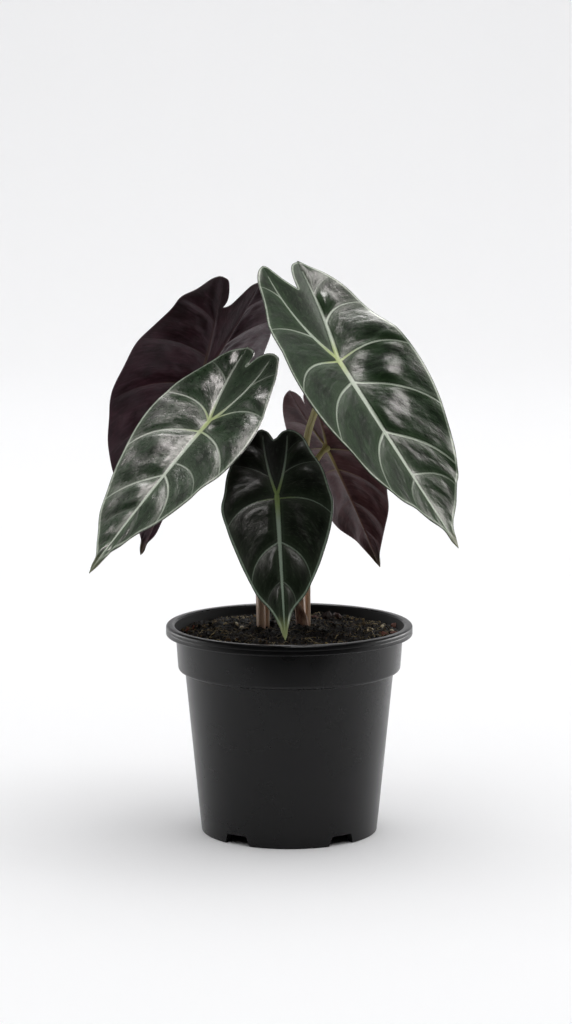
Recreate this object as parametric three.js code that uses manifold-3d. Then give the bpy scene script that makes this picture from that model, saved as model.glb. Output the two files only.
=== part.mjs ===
// Potted alocasia chantrieri: five leaves on their petioles, standing in soil in a black nursery pot.
// Millimetres, +Z up, the viewer on the -Y side. The origin is the middle of the pot's underside.
import * as THREE from "three";
import { mergeVertices } from "three/addons/utils/BufferGeometryUtils.js";
import Module from "manifold-3d";

const wasm = await Module();
wasm.setup();

// Driving dimensions
const RIM_RADIUS = 60;
const POT_HEIGHT = 102;
const RIM_HEIGHT = 5;
const RIM_WIDTH = 4.2;
const RIM_ROUND = 0.8;
const LIP_ROUND = 0.4;
const HOLLOW_SLOPE = 1.8;
const BAND_TOP_RADIUS = 55.3;
const BAND_LOW_RADIUS = 54.1;
const STEP_HEIGHT = 80;
const STEP_FALL = 0.8;
const BODY_TOP_RADIUS = 50.8;
const SKIRT_RADIUS = 43.9;
const SKIRT_HEIGHT = 9;
const SKIRT_SLOPE = 0.2;
const BASE_RADIUS = 42.9;
const WALL = 1.3;
const FLOOR = 1.4;
const PAD_RADIUS = 26;
const PAD_INSET = 1;
const CHANNEL_HEIGHT = 5.6;
const CHANNEL_SLOPE = 1.6;
const FOOT_WIDTH = 3.2;
const FOOT_SLOPE = 1;
const POT_SIDES = 48;

const NOTCHES = 5;
const NOTCH_WIDTH = 15;
const NOTCH_TOP_WIDTH = 11;
const NOTCH_HEIGHT = 5;
const DRAIN_RADIUS = 3;
const DRAIN_SIDES = 16;

const GAP = 0.3;
const PETIOLE_GAP = 0.4;
const NEAR = 0.01;
const SOIL_EDGE_HEIGHT = 97;
const SOIL_MOUND = 2.6;
const SOIL_LUMP = 0.6;
const LUMP_LENGTHS = [3.1, 2.7, 4.3];
const SOIL_RINGS = 8;
const SOIL_SIDES = 40;
const STEM_DEPTH = 15;

const BLADE_THICKNESS = 0.8;
const RIB_HEIGHT = 0.9;
const RIB_START = 9;
const CREASE_WIDTH = 4;
const CREASE_SPREAD = 0.35;
const VEIN_WIDTH = 3.5;
const WAVE_LENGTH = 27;
const WAVE_START = 30;
const ROW_STEP = 7;
const APEX_STEP = 4;
const COLUMNS = [0, 0.08, 0.26, 0.5, 0.74, 0.9, 1];
const INNER_COLUMNS = [0, 0.5, 1];
const MOST_BOW = 0.24;
const BEND_STEPS = 12;

const PETIOLE_SIDES = 10;
const PETIOLE_STEP = 9;
const PETIOLE_WAIST = 0.85;
const PETIOLE_TOP = 10;
const SHEATH_HEIGHT = 34;

const POT_BLACK = { color: 0x1b1a1d, roughness: 0.42 };
const SOIL_BROWN = { color: 0x2f221a, roughness: 0.95 };
const UPPER_GREEN = { color: 0x1f3527, roughness: 0.35 };
const FRONT_GREEN = { color: 0x16231c, roughness: 0.35 };
const BACK_PURPLE = { color: 0x37202a, roughness: 0.4 };
const PETIOLE_OLIVE = { color: 0x6f6a45, roughness: 0.5 };

// The leaves. A blade is drawn flat first, seen on its upper face: the petiole meets it at 0, 0, the
// midrib runs down -y to the tip, and two lobes stand up on +y with the sinus between them. Each half
// gives its margin from just after the tip to just before the lobe's apex, the apex, the lobe's inner
// edge, how far its basal vein bows out, how far it swells up between its veins and its margin waves,
// and its side veins as start height, end height on the margin and bow. Domes are the larger soft domes
// and hollows of a puckered half, as centre, radius and height. In space, heading and droop aim the tip,
// in degrees, and roll turns the blade on its midrib. Bends, curls and twist are in degrees in 100 mm,
// and the folds in degrees at the midrib.
const LEAVES = [
  {
    name: "right_front",
    finish: UPPER_GREEN,
    node: [22.9, -12, 232.4],
    heading: -55, droop: 40, roll: 8, twist: -4,
    bendTip: 0, bendLobes: -20,
    foldLeft: 20, foldRight: 30, curlLeft: 8, curlRight: 16,
    tip: -123.5, sinus: 45,
    left: {
      margin: [[1, -119], [2, -111], [9, -99], [21.5, -84], [28.5, -67], [34.5, -49.5], [37.5, -32],
        [38.3, -15], [36, 2], [32.6, 18], [27, 32], [23.3, 45], [21, 51.5], [17.6, 57.3]],
      apex: [14.2, 59.7], inner: [[11.2, 58.6], [5.5, 51.3]], basal: 3.5,
      bulge: 0.6, wave: 0.3,
      veins: [[-100, -111, 1], [-80, -100, 2.6], [-49, -88, 4.6], [-16, -58, 5.8], [-2, -27, 7],
        [15, 17, 3.5], [40, 47, 1.5]],
    },
    right: {
      margin: [[1.5, -119], [4, -111], [12, -99], [21, -84], [26.5, -67], [31, -49.5], [33.5, -32],
        [34, -15], [32.5, 0], [27.5, 18], [23.2, 36], [16.8, 50.3], [10.2, 57.4]],
      apex: [6.2, 60], inner: [[2.6, 58.6], [0.6, 53]], basal: 2.5,
      bulge: 0.8, wave: 0.8,
      domes: [[3, -41, 15, 2.2], [16.5, -18.5, 11, 2.2], [19, 11.5, 15, 1.5], [24, -38.5, 14.5, -1.9],
        [10, -12.5, 11, -1.5], [7.5, 32.5, 9.5, 2.2], [17.5, -2.5, 10, -1.9], [1.5, -102.5, 12.5, -1.1],
        [14, -33.5, 11, 0.9], [22.5, 24, 15, -0.9], [17.5, 3.5, 11, -1.9], [20.5, -68.5, 7.5, -1.2],
        [28, -3.5, 11, 2.2], [15.5, -23.5, 6, 1.1]],
      veins: [[-100, -110, 2], [-77, -94, 4], [-49, -85, 4], [-16, -52, 5], [-2, -13, 7.2], [22, 26, 5],
        [40, 47, 1.5]],
    },
    petiole: {
      base: [6.2, 5.5], baseRadius: 2.1, topRadius: 1.7,
      via: [[5.2, 6.5, 130], [6.5, 7.5, 170], [9.5, 6.5, 196]],
    },
  },
  {
    name: "left_front",
    finish: UPPER_GREEN,
    node: [-38.5, -18, 202.7],
    heading: 226, droop: 37, roll: -4, twist: 3,
    bendTip: 5, bendLobes: -40,
    foldLeft: 20, foldRight: 0, curlLeft: 14, curlRight: 0,
    tip: -100.5, sinus: 36,
    left: {
      margin: [[1, -97], [3, -90.5], [9, -80.5], [15.5, -68.5], [20.5, -54], [24.5, -40], [28, -26],
        [30, -12], [30, 0], [28.7, 13.5], [24.5, 26.5], [17.6, 37.7], [11, 43.4]],
      apex: [5.4, 46.1], inner: [[1.2, 45.1], [-0.7, 42.4], [-0.2, 39]], basal: 3,
      bulge: 2, wave: 0.5,
      domes: [[15, -24.5, 11, 0.7], [19, 19.5, 14.5, 1.1], [9, 25.5, 10, -1.2], [6.5, 8, 15, -1.5],
        [10, -72, 15, -1.5], [10, -9.5, 8.5, -1.5], [5.5, 43, 10, -1.9], [4, 42, 10, -1.9],
        [6.5, -42, 8.5, -1.9], [15.5, -54.5, 15, -1.9], [16.5, 32, 15, 1.1], [25.5, -30.5, 15, -1.9]],
      veins: [[-78, -88, 1], [-58, -77, 2], [-37, -63, 2.8], [-7, -32, 6.3], [0, 6.5, 5.8], [25, 34, 1]],
    },
    right: {
      margin: [[1, -97], [2.5, -90.5], [6, -80.5], [14, -68.5], [21, -54], [26.5, -40], [31, -26],
        [32.5, -12], [31.2, 0], [27.8, 13.5], [22.8, 27], [20.2, 36.2], [17.6, 42.2]],
      apex: [13, 44.6], inner: [[8.3, 44.2], [3.6, 41.2]], basal: 2,
      bulge: 0.4, wave: 0.5,
      domes: [[7.5, -54.5, 13, 1.2], [21.5, 14, 15, 2.8], [27.5, -3.5, 15, 2.8], [26.5, -14.5, 13, 2.8],
        [3, -3.5, 12.5, -1.9], [21.5, 15.5, 14.5, 1.1], [1.5, -90.5, 12.5, 1.5], [24, 28, 14.5, -1.9],
        [1.5, -0.5, 14.5, -1.1], [29, -23.5, 13, 1.1]],
      veins: [[-78, -89, 1], [-58, -80, 2], [-37, -66, 4.4], [-29, -47, 5.4], [-7, -31, 4.7], [0, 7.5, 5.7],
        [25, 34, 1]],
    },
    petiole: {
      base: [-13.4, 0], baseRadius: 2, topRadius: 1.6,
      via: [[-14.5, 0.5, 130], [-18.5, 1, 165], [-27, -1.5, 187]],
    },
  },
  {
    name: "front",
    finish: FRONT_GREEN,
    node: [-5.9, -33, 169.2],
    heading: -84, droop: 58, roll: 5, twist: 3,
    bendTip: 10, bendLobes: 15,
    foldLeft: 13, foldRight: 18, curlLeft: 10, curlRight: 12,
    tip: -72, sinus: 30,
    left: {
      margin: [[1, -69.5], [2.5, -65], [6.5, -57.5], [13, -49], [18, -39], [21.5, -29], [25, -18.5],
        [27.5, -8.5], [25.7, 0], [23.4, 11], [18.4, 21.5], [12.6, 30], [8.6, 34]],
      apex: [5, 35.8], inner: [[2.4, 34.3], [0.9, 31.8]], basal: 1.5,
      bulge: 1.8, wave: 0.6,
      veins: [[-43, -56, 2], [-23.5, -46, 3.9], [-1.5, -18, 4.5], [9.5, 15, 2], [22, 29, 1]],
    },
    right: {
      margin: [[1, -69.5], [2, -65], [5, -57.5], [12, -49], [18, -39], [22, -29], [25.5, -18.5],
        [27.5, -8.5], [26, 0], [23.1, 11], [18.1, 21], [14.6, 29.4], [10.9, 33.2]],
      apex: [6.8, 34.8], inner: [[3.9, 33.8], [2, 31.4]], basal: 1.5,
      bulge: 1.8, wave: 0.6,
      veins: [[-43, -56, 2], [-23.5, -45.5, 3.9], [-1.5, -14, 4], [11.5, 14, 2.5], [22, 29, 1]],
    },
    petiole: {
      base: [-11.2, 4.6], baseRadius: 1.5, topRadius: 1.3,
      via: [[-10.8, 3.6, 120], [-9.8, -1, 142], [-8, -10, 157]],
    },
  },
  {
    name: "left_back",
    finish: BACK_PURPLE,
    node: [-43.5, 33, 217.4],
    heading: 118, droop: 60, roll: 6, twist: 8,
    bendTip: -12, bendLobes: 14,
    foldLeft: 24, foldRight: 18, curlLeft: 16, curlRight: 10,
    tip: -123, sinus: 44.8,
    left: {
      margin: [[1.2, -119], [2.2, -111.5], [5, -99], [11, -84.5], [20, -67], [31, -49.5], [38.5, -32],
        [43, -15], [43.3, 0], [38, 19.5], [29, 38], [22.5, 51], [18.8, 58]],
      apex: [15, 61.2], inner: [[11, 58.9], [7, 52.2], [3.6, 46.6]], basal: 2,
      bulge: 2.2, wave: 0.8,
      veins: [[-78, -96, 2], [-50, -76, 4], [-22, -50, 6], [-2, -12, 6], [22, 32, 3], [45, 50, 1]],
    },
    right: {
      margin: [[1.5, -119], [3, -111.5], [8.5, -99], [17, -84.5], [28.5, -67], [36, -49.5],
        [39.4, -32], [41.4, -17], [38.5, 0], [35.7, 15], [29.8, 28.2], [24.2, 39], [21.4, 46.8],
        [16, 54], [10.4, 61]],
      apex: [5, 63.9], inner: [[1.8, 62.1], [0, 57.5], [-1.2, 50]], basal: -1,
      bulge: 2.2, wave: 0.8,
      veins: [[-78, -96, 2.5], [-50, -79, 5], [-22, -54, 6], [-2, -22, 6], [15, 18, 4.5], [36, 47, 2]],
    },
    petiole: {
      base: [-13.9, 8.3], baseRadius: 2, topRadius: 1.7,
      via: [[-15.5, 8.6, 130], [-22, 10.5, 170], [-32, 15, 197]],
    },
  },
  {
    name: "right_back",
    finish: BACK_PURPLE,
    node: [18.6, 29, 185],
    heading: 48, droop: 55, roll: -4, twist: 2,
    bendTip: 8, bendLobes: 8,
    foldLeft: 8, foldRight: 4, curlLeft: 7, curlRight: 7,
    tip: -76.5, sinus: 27,
    left: {
      margin: [[1, -74], [2.7, -69], [6.4, -61.5], [12.3, -52], [18, -41.5], [22, -30.5], [25.6, -20],
        [27, -9], [25.5, 0], [22, 11], [17.2, 21.5], [12.9, 30], [9.6, 34.2]],
      apex: [6, 36.2], inner: [[3, 34.9], [0.9, 31.5]], basal: 1.5,
      bulge: 1.6, wave: 0.6,
      veins: [[-52, -64, 1.5], [-34, -53, 3], [-14, -34, 4], [-1, -14, 4], [13, 14, 2]],
    },
    right: {
      margin: [[1.4, -74], [3.2, -69.5], [9, -61.8], [17.6, -52.3], [22.6, -41.5], [25.7, -30.5],
        [27, -20], [27, -9], [25, 0], [21.7, 11], [17.2, 21.5], [12, 30.6], [8.3, 34.6]],
      apex: [5.1, 36.2], inner: [[2.3, 35.1], [0.4, 32]], basal: 1.5,
      bulge: 1.6, wave: 0.6,
      veins: [[-52, -64, 1.5], [-34, -53, 3], [-14, -35, 4], [-1, -14, 4], [13, 14, 2]],
    },
    petiole: {
      base: [8.9, 9.8], baseRadius: 1.5, topRadius: 1.2,
      via: [[9, 10.6, 118], [9.6, 13, 145], [11.8, 18, 165]],
    },
  },
];

// Mesh helpers

function closedBody(geometry) {
  for (const name of Object.keys(geometry.attributes)) {
    if (name !== "position") geometry.deleteAttribute(name);
  }
  const merged = mergeVertices(geometry, 1e-4);
  const index = merged.index.array;
  const kept = [];
  for (let i = 0; i < index.length; i += 3) {
    const [a, b, c] = [index[i], index[i + 1], index[i + 2]];
    if (a !== b && b !== c && c !== a) kept.push(a, b, c);
  }
  if (signedVolume(merged.attributes.position, kept) < 0) kept.reverse();
  merged.setIndex(kept);
  return merged;
}

function signedVolume(position, index) {
  const [a, b, c] = [new THREE.Vector3(), new THREE.Vector3(), new THREE.Vector3()];
  let volume = 0;
  for (let i = 0; i < index.length; i += 3) {
    a.fromBufferAttribute(position, index[i]);
    b.fromBufferAttribute(position, index[i + 1]);
    c.fromBufferAttribute(position, index[i + 2]);
    volume += a.dot(b.cross(c)) / 6;
  }
  return volume;
}

function toSolid(geometry) {
  const body = closedBody(geometry);
  return new wasm.Manifold(new wasm.Mesh({
    numProp: 3,
    vertProperties: new Float32Array(body.attributes.position.array),
    triVerts: new Uint32Array(body.index.array),
  }));
}

function toGeometry(solid) {
  const mesh = solid.getMesh();
  const geometry = new THREE.BufferGeometry();
  geometry.setAttribute("position", new THREE.BufferAttribute(mesh.vertProperties, 3));
  geometry.setIndex(Array.from(mesh.triVerts));
  return geometry;
}

function fromTriangles(points, triangles) {
  const geometry = new THREE.BufferGeometry();
  geometry.setAttribute("position", new THREE.Float32BufferAttribute(points.flat(), 3));
  geometry.setIndex(triangles.flat());
  return closedBody(geometry);
}

function revolved(profile, sides) {
  const points = profile.map(([r, z]) => new THREE.Vector2(r, z));
  return closedBody(new THREE.LatheGeometry(points, sides).rotateX(Math.PI / 2));
}

function named(name, geometry, finish) {
  geometry.computeVertexNormals();
  const mesh = new THREE.Mesh(geometry, new THREE.MeshStandardMaterial({ ...finish, metalness: 0 }));
  mesh.name = name;
  return mesh;
}

// Pot

// The outside, from the middle of the underside over the foot and the band to the rim, hollow from below.
function potProfile() {
  const lipZ = POT_HEIGHT - RIM_HEIGHT;
  const hollowZ = POT_HEIGHT - WALL;
  const foot = BASE_RADIUS - FOOT_WIDTH;
  const outer = [
    [0, 0], [PAD_RADIUS, 0], [PAD_RADIUS + CHANNEL_SLOPE, CHANNEL_HEIGHT],
    [foot - FOOT_SLOPE, CHANNEL_HEIGHT], [foot, 0], [BASE_RADIUS, 0], [SKIRT_RADIUS, SKIRT_HEIGHT],
    [BODY_TOP_RADIUS, STEP_HEIGHT - STEP_FALL], [BAND_LOW_RADIUS, STEP_HEIGHT],
    [BAND_TOP_RADIUS, lipZ], [BAND_TOP_RADIUS + HOLLOW_SLOPE, hollowZ], [RIM_RADIUS - WALL, hollowZ],
    [RIM_RADIUS - WALL, lipZ], [RIM_RADIUS - LIP_ROUND, lipZ], [RIM_RADIUS, lipZ + LIP_ROUND],
    [RIM_RADIUS, POT_HEIGHT - RIM_ROUND], [RIM_RADIUS - RIM_ROUND, POT_HEIGHT],
  ];
  return [...outer, ...innerWall(0).reverse()];
}

// The inside, from the middle of the floor to the rim, moved inward by a clearance.
function innerWall(clearance) {
  const floor = FLOOR + clearance;
  const raised = CHANNEL_HEIGHT + FLOOR + clearance;
  const pad = PAD_RADIUS - PAD_INSET - clearance;
  const inset = WALL + clearance;
  return [
    [0, floor], [pad, floor], [pad + CHANNEL_SLOPE, raised],
    [SKIRT_RADIUS - SKIRT_SLOPE - inset, raised], [SKIRT_RADIUS - inset, SKIRT_HEIGHT],
    [BODY_TOP_RADIUS - inset, STEP_HEIGHT - STEP_FALL + clearance],
    [BAND_LOW_RADIUS - inset, STEP_HEIGHT + clearance],
    [BAND_TOP_RADIUS - inset, POT_HEIGHT - RIM_HEIGHT],
    [RIM_RADIUS - RIM_WIDTH - clearance, POT_HEIGHT - RIM_ROUND],
    [RIM_RADIUS - RIM_WIDTH + RIM_ROUND - clearance, POT_HEIGHT],
  ];
}

function notchCutter(angle) {
  const [low, high] = [NOTCH_WIDTH / 2, NOTCH_TOP_WIDTH / 2];
  const trapezoid = new THREE.Shape([
    new THREE.Vector2(-low, -1), new THREE.Vector2(low, -1),
    new THREE.Vector2(high, NOTCH_HEIGHT), new THREE.Vector2(-high, NOTCH_HEIGHT),
  ]);
  const inside = BASE_RADIUS - 2 * FOOT_WIDTH;
  const cutter = new THREE.ExtrudeGeometry(trapezoid, { depth: 4 * FOOT_WIDTH, bevelEnabled: false });
  cutter.translate(0, 0, inside).rotateX(Math.PI / 2).rotateZ(angle);
  return toSolid(cutter);
}

function drainCutter(angle) {
  const radius = (PAD_RADIUS + BASE_RADIUS - FOOT_WIDTH) / 2;
  const cutter = new THREE.CylinderGeometry(DRAIN_RADIUS, DRAIN_RADIUS, 4 * FLOOR, DRAIN_SIDES);
  cutter.rotateX(Math.PI / 2).translate(0, -radius, CHANNEL_HEIGHT + FLOOR / 2).rotateZ(angle);
  return toSolid(cutter);
}

function makePot() {
  let pot = toSolid(revolved(potProfile(), POT_SIDES));
  for (let i = 0; i < NOTCHES; i++) {
    const angle = (i + 0.5) * 2 * Math.PI / NOTCHES;
    pot = pot.subtract(notchCutter(angle)).subtract(drainCutter(angle));
  }
  return named("pot", toGeometry(pot), POT_BLACK);
}

// Soil

function soilHeight(x, y) {
  const r = Math.hypot(x, y) / BAND_TOP_RADIUS;
  const [a, b, c] = LUMP_LENGTHS;
  const lump = Math.sin(x / a) * Math.cos(y / b) + Math.sin((x + y) / c);
  return SOIL_EDGE_HEIGHT + SOIL_MOUND * (1 - r * r) + SOIL_LUMP * lump * (1 - r ** 6);
}

function makeSoil(stems) {
  const profile = innerWall(GAP).filter(([, z]) => z < SOIL_EDGE_HEIGHT - NEAR);
  const edge = BAND_TOP_RADIUS - WALL - GAP;
  for (let i = SOIL_RINGS; i >= 0; i--) profile.push([edge * i / SOIL_RINGS, SOIL_EDGE_HEIGHT]);
  const geometry = revolved(profile, SOIL_SIDES);
  const position = geometry.attributes.position;
  for (let i = 0; i < position.count; i++) {
    const [x, y, z] = [position.getX(i), position.getY(i), position.getZ(i)];
    if (z > SOIL_EDGE_HEIGHT - NEAR && Math.hypot(x, y) < edge - NEAR) position.setZ(i, soilHeight(x, y));
  }
  let soil = toSolid(geometry);
  for (const stem of stems) soil = soil.subtract(toSolid(petioleTube(stem, GAP)));
  return named("soil", toGeometry(soil), SOIL_BROWN);
}

// Leaf blades: the flat drawing

// A point on a curve between two points that bows out to its left, less where they are close.
function bowedPoint([ax, ay], [bx, by], bow, t) {
  const [dx, dy] = [bx - ax, by - ay];
  const length = Math.hypot(dx, dy) || 1;
  const most = MOST_BOW * length;
  const lift = 4 * Math.max(-most, Math.min(most, bow)) * t * (1 - t) / length;
  return [ax + dx * t - dy * lift, ay + dy * t + dx * lift];
}

function marginCurve(leaf, half) {
  const points = [[0, leaf.tip], ...half.margin, half.apex];
  return new THREE.SplineCurve(points.map(([x, y]) => new THREE.Vector2(x, y)));
}

function innerCurve(leaf, half) {
  const points = [[0, leaf.sinus], ...half.inner.toReversed(), half.apex];
  return new THREE.SplineCurve(points.map(([x, y]) => new THREE.Vector2(x, y)));
}

// Where on the margin, from 0 at the tip to 1 at the apex, the curve reaches a height.
function marginAt(curve, height) {
  let [low, high] = [0, 1];
  for (let i = 0; i < 40; i++) {
    const middle = (low + high) / 2;
    if (curve.getPoint(middle).y < height) low = middle;
    else high = middle;
  }
  return (low + high) / 2;
}

function mixed(a, b, t) {
  return a + (b - a) * t;
}

// Rows run from the midrib or the basal vein out to the margin, along the side veins and between them.
function halfRows(leaf, half) {
  const curve = marginCurve(leaf, half);
  const stations = [
    { start: leaf.tip, end: 0, bow: 0 },
    ...half.veins.map(([start, end, bow]) => ({ start, end: marginAt(curve, end), bow })),
    { start: half.apex[1], end: 1, bow: 0 },
  ];
  const spinePoint = (y) => {
    if (y <= 0) return [0, y];
    return bowedPoint([0, 0], half.apex, -half.basal, y / half.apex[1]);
  };
  const rowPoint = (start, end, bow, u) => {
    const { x, y } = curve.getPoint(end);
    return bowedPoint(spinePoint(start), [x, y], bow, u);
  };
  const bracket = (y) => {
    let k = 0;
    while (k < stations.length - 2 && y >= stations[k + 1].start) k++;
    const [low, high] = [stations[k], stations[k + 1]];
    return { low, high, t: (y - low.start) / (high.start - low.start) };
  };
  // A point of the flat blade, with its distances from the veins on either side and from the midrib.
  const sample = (y, u) => {
    const { low, high, t } = bracket(y);
    const at = rowPoint(y, mixed(low.end, high.end, t), mixed(low.bow, high.bow, t), u);
    const a = rowPoint(low.start, low.end, low.bow, u);
    const b = rowPoint(high.start, high.end, high.bow, u);
    const gap = Math.hypot(b[0] - a[0], b[1] - a[1]);
    const root = spinePoint(y);
    return { at, below: t * gap, above: (1 - t) * gap, out: Math.hypot(at[0] - root[0], at[1] - root[1]) };
  };
  return { spinePoint, sample };
}

// The height of the domes and hollows of a half at a flat point.
function domeHeight(half, [x, y]) {
  const heights = (half.domes ?? []).map(([middleX, middleY, radius, top]) => {
    const away = Math.min(1, Math.hypot(x - middleX, y - middleY) / radius);
    return top * Math.cos(Math.PI / 2 * away) ** 2;
  });
  return heights.reduce((sum, height) => sum + height, 0);
}

// How far the blade swells up between its veins, and how its margin waves.
function relief(leaf, half, { at, below, above, out }, y, u) {
  const rise = (distance) => 1 - Math.exp(-((distance / VEIN_WIDTH) ** 2));
  const free = rise(below) * rise(above) * rise(out) * (1 - u ** 3);
  const swell = free * (half.bulge + domeHeight(half, at));
  const start = Math.min(1, (y - leaf.tip) / WAVE_START);
  const wave = half.wave * start * u ** 3 * Math.sin(2 * Math.PI * y / WAVE_LENGTH);
  return swell + wave;
}

function spineHeights(leaf) {
  const starts = [leaf.left, leaf.right].flatMap((half) => half.veins.map(([start]) => start));
  const stops = [...new Set([leaf.tip, 0, leaf.sinus, ...starts])].sort((a, b) => a - b);
  const top = Math.min(leaf.left.apex[1], leaf.right.apex[1]);
  const heights = [];
  for (let i = 0; i < stops.length; i++) {
    const next = stops[i + 1] ?? top;
    const step = next === top ? APEX_STEP : ROW_STEP;
    const count = Math.max(1, Math.round((next - stops[i]) / step));
    for (let j = 0; j < count; j++) heights.push(mixed(stops[i], next, j / count));
  }
  return heights;
}

// Both halves as one list of flat points, with triangles that turn left seen on the upper face.
function flatBlade(leaf) {
  const points = [];
  const triangles = [];
  const found = new Map();
  const pointIndex = (side, [x, y], lift) => {
    const key = `${(side * x).toFixed(4)} ${y.toFixed(4)}`;
    if (!found.has(key)) {
      found.set(key, points.length);
      points.push({ x: side * x, y, lift });
    }
    return found.get(key);
  };
  const addTriangle = (a, b, c) => {
    if (a !== b && b !== c && c !== a) triangles.push([a, b, c]);
  };
  // Joins two rows, the second nearer the lobes, that run in the direction of x, or against it for -1.
  const addStrip = (first, second, direction) => {
    const [low, high] = direction > 0 ? [first, second] : [second, first];
    for (let j = 0; j + 1 < low.length; j++) {
      addTriangle(low[j], low[j + 1], high[j + 1]);
      addTriangle(low[j], high[j + 1], high[j]);
    }
  };
  const heights = spineHeights(leaf);
  for (const [side, half] of [[-1, leaf.left], [1, leaf.right]]) {
    const { spinePoint, sample } = halfRows(leaf, half);
    const apexRow = half.apex[1];
    const rows = [...heights, apexRow].map((y) => COLUMNS.map((u) => {
      const spot = sample(y, u);
      return pointIndex(side, spot.at, u === 0 ? 0 : relief(leaf, half, spot, y, u));
    }));
    for (let i = 0; i + 1 < rows.length; i++) addStrip(rows[i], rows[i + 1], side);

    const inner = innerCurve(leaf, half);
    const innerEdge = (y) => {
      if (y <= leaf.sinus) return [0, y];
      const { x, y: height } = inner.getPoint((y - leaf.sinus) / (apexRow - leaf.sinus));
      return [x, height];
    };
    const lobe = [0, ...heights.filter((y) => y > 0), apexRow];
    const innerRows = lobe.map((y) => INNER_COLUMNS.map((u) => {
      const [from, to] = [spinePoint(y), innerEdge(y)];
      return pointIndex(side, [mixed(from[0], to[0], u), mixed(from[1], to[1], u)], 0);
    }));
    for (let i = 0; i + 1 < innerRows.length; i++) addStrip(innerRows[i], innerRows[i + 1], -side);
  }
  return { points, triangles };
}

// Leaf blades: the flat drawing bent in space

function leafFrame({ heading, droop, roll }) {
  const [a, d, r] = [heading, droop, roll].map(THREE.MathUtils.degToRad);
  const level = new THREE.Vector3(Math.cos(a), Math.sin(a), 0);
  const up = new THREE.Vector3(0, 0, 1);
  const towardLobes = level.clone().multiplyScalar(-Math.cos(d)).addScaledVector(up, Math.sin(d));
  const upper = level.clone().multiplyScalar(Math.sin(d)).addScaledVector(up, Math.cos(d));
  const across = new THREE.Vector3().crossVectors(towardLobes, upper);
  const side = across.clone().multiplyScalar(Math.cos(r)).addScaledVector(upper, Math.sin(r));
  upper.multiplyScalar(Math.cos(r)).addScaledVector(across, -Math.sin(r));
  return { side, towardLobes, upper };
}

// The place of a flat point in space, and the direction of the upper face there.
function bentPoint(leaf, frame, { x, y }) {
  const perMillimetre = THREE.MathUtils.degToRad(1) / 100;
  const bend = (y < 0 ? leaf.bendTip : leaf.bendLobes) * perMillimetre || 1e-8;
  const spine = new THREE.Vector3(...leaf.node)
    .addScaledVector(frame.towardLobes, Math.sin(bend * y) / bend)
    .addScaledVector(frame.upper, (Math.cos(bend * y) - 1) / bend);
  const upper = frame.towardLobes.clone().multiplyScalar(Math.sin(bend * y))
    .addScaledVector(frame.upper, Math.cos(bend * y));
  const turn = leaf.twist * perMillimetre * y;
  const side = frame.side.clone().multiplyScalar(Math.cos(turn)).addScaledVector(upper, Math.sin(turn));
  upper.multiplyScalar(Math.cos(turn)).addScaledVector(frame.side, -Math.sin(turn));

  const fold = THREE.MathUtils.degToRad(x < 0 ? leaf.foldLeft : leaf.foldRight);
  const curl = (x < 0 ? leaf.curlLeft : leaf.curlRight) * perMillimetre;
  const crease = CREASE_WIDTH + CREASE_SPREAD * Math.max(y, 0);
  const tilt = (distance) => fold * (1 - Math.exp(-distance / crease)) + curl * distance;
  const width = Math.abs(x);
  let [out, rise] = [0, 0];
  for (let i = 0; i < BEND_STEPS; i++) {
    const angle = tilt(width * (i + 0.5) / BEND_STEPS);
    out += Math.cos(angle) * width / BEND_STEPS;
    rise += Math.sin(angle) * width / BEND_STEPS;
  }
  const hand = Math.sign(x);
  const place = spine.addScaledVector(side, hand * out).addScaledVector(upper, rise);
  const normal = upper.clone().multiplyScalar(Math.cos(tilt(width)))
    .addScaledVector(side, -hand * Math.sin(tilt(width)));
  return { place, normal };
}

// The midrib stands out below the blade, and fades at the petiole and toward the tip.
function ribDepth(leaf, { x, y }) {
  if (x !== 0 || y > 0) return 0;
  return RIB_HEIGHT * Math.min(1, -y / RIB_START) * (1 - y / leaf.tip);
}

function makeBlade(leaf) {
  const { points, triangles } = flatBlade(leaf);
  const frame = leafFrame(leaf);
  const upper = [];
  const under = [];
  for (const point of points) {
    const { place, normal } = bentPoint(leaf, frame, point);
    const half = BLADE_THICKNESS / 2;
    upper.push(place.clone().addScaledVector(normal, point.lift + half).toArray());
    under.push(place.clone().addScaledVector(normal, point.lift - half - ribDepth(leaf, point)).toArray());
  }
  const shift = points.length;
  const faces = [];
  const edges = new Map();
  for (const [a, b, c] of triangles) {
    faces.push([a, b, c], [a + shift, c + shift, b + shift]);
    for (const [from, to] of [[a, b], [b, c], [c, a]]) edges.set(`${from} ${to}`, [from, to]);
  }
  for (const [from, to] of edges.values()) {
    if (edges.has(`${to} ${from}`)) continue;
    faces.push([to, from, from + shift], [to, from + shift, to + shift]);
  }
  return named(`blade_${leaf.name}`, fromTriangles([...upper, ...under], faces), leaf.finish);
}

// Petioles

function petioleCurve(leaf) {
  const { base, via } = leaf.petiole;
  const soilZ = soilHeight(...base);
  const { upper } = leafFrame(leaf);
  const top = new THREE.Vector3(...leaf.node).addScaledVector(upper, -BLADE_THICKNESS / 2 - PETIOLE_GAP);
  const beforeTop = top.clone().addScaledVector(upper, -PETIOLE_TOP);
  return new THREE.CatmullRomCurve3([
    new THREE.Vector3(...base, soilZ - STEM_DEPTH),
    new THREE.Vector3(...base, soilZ - 1),
    ...via.map((place) => new THREE.Vector3(...place)),
    beforeTop,
    top,
  ], false, "centripetal");
}

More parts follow.
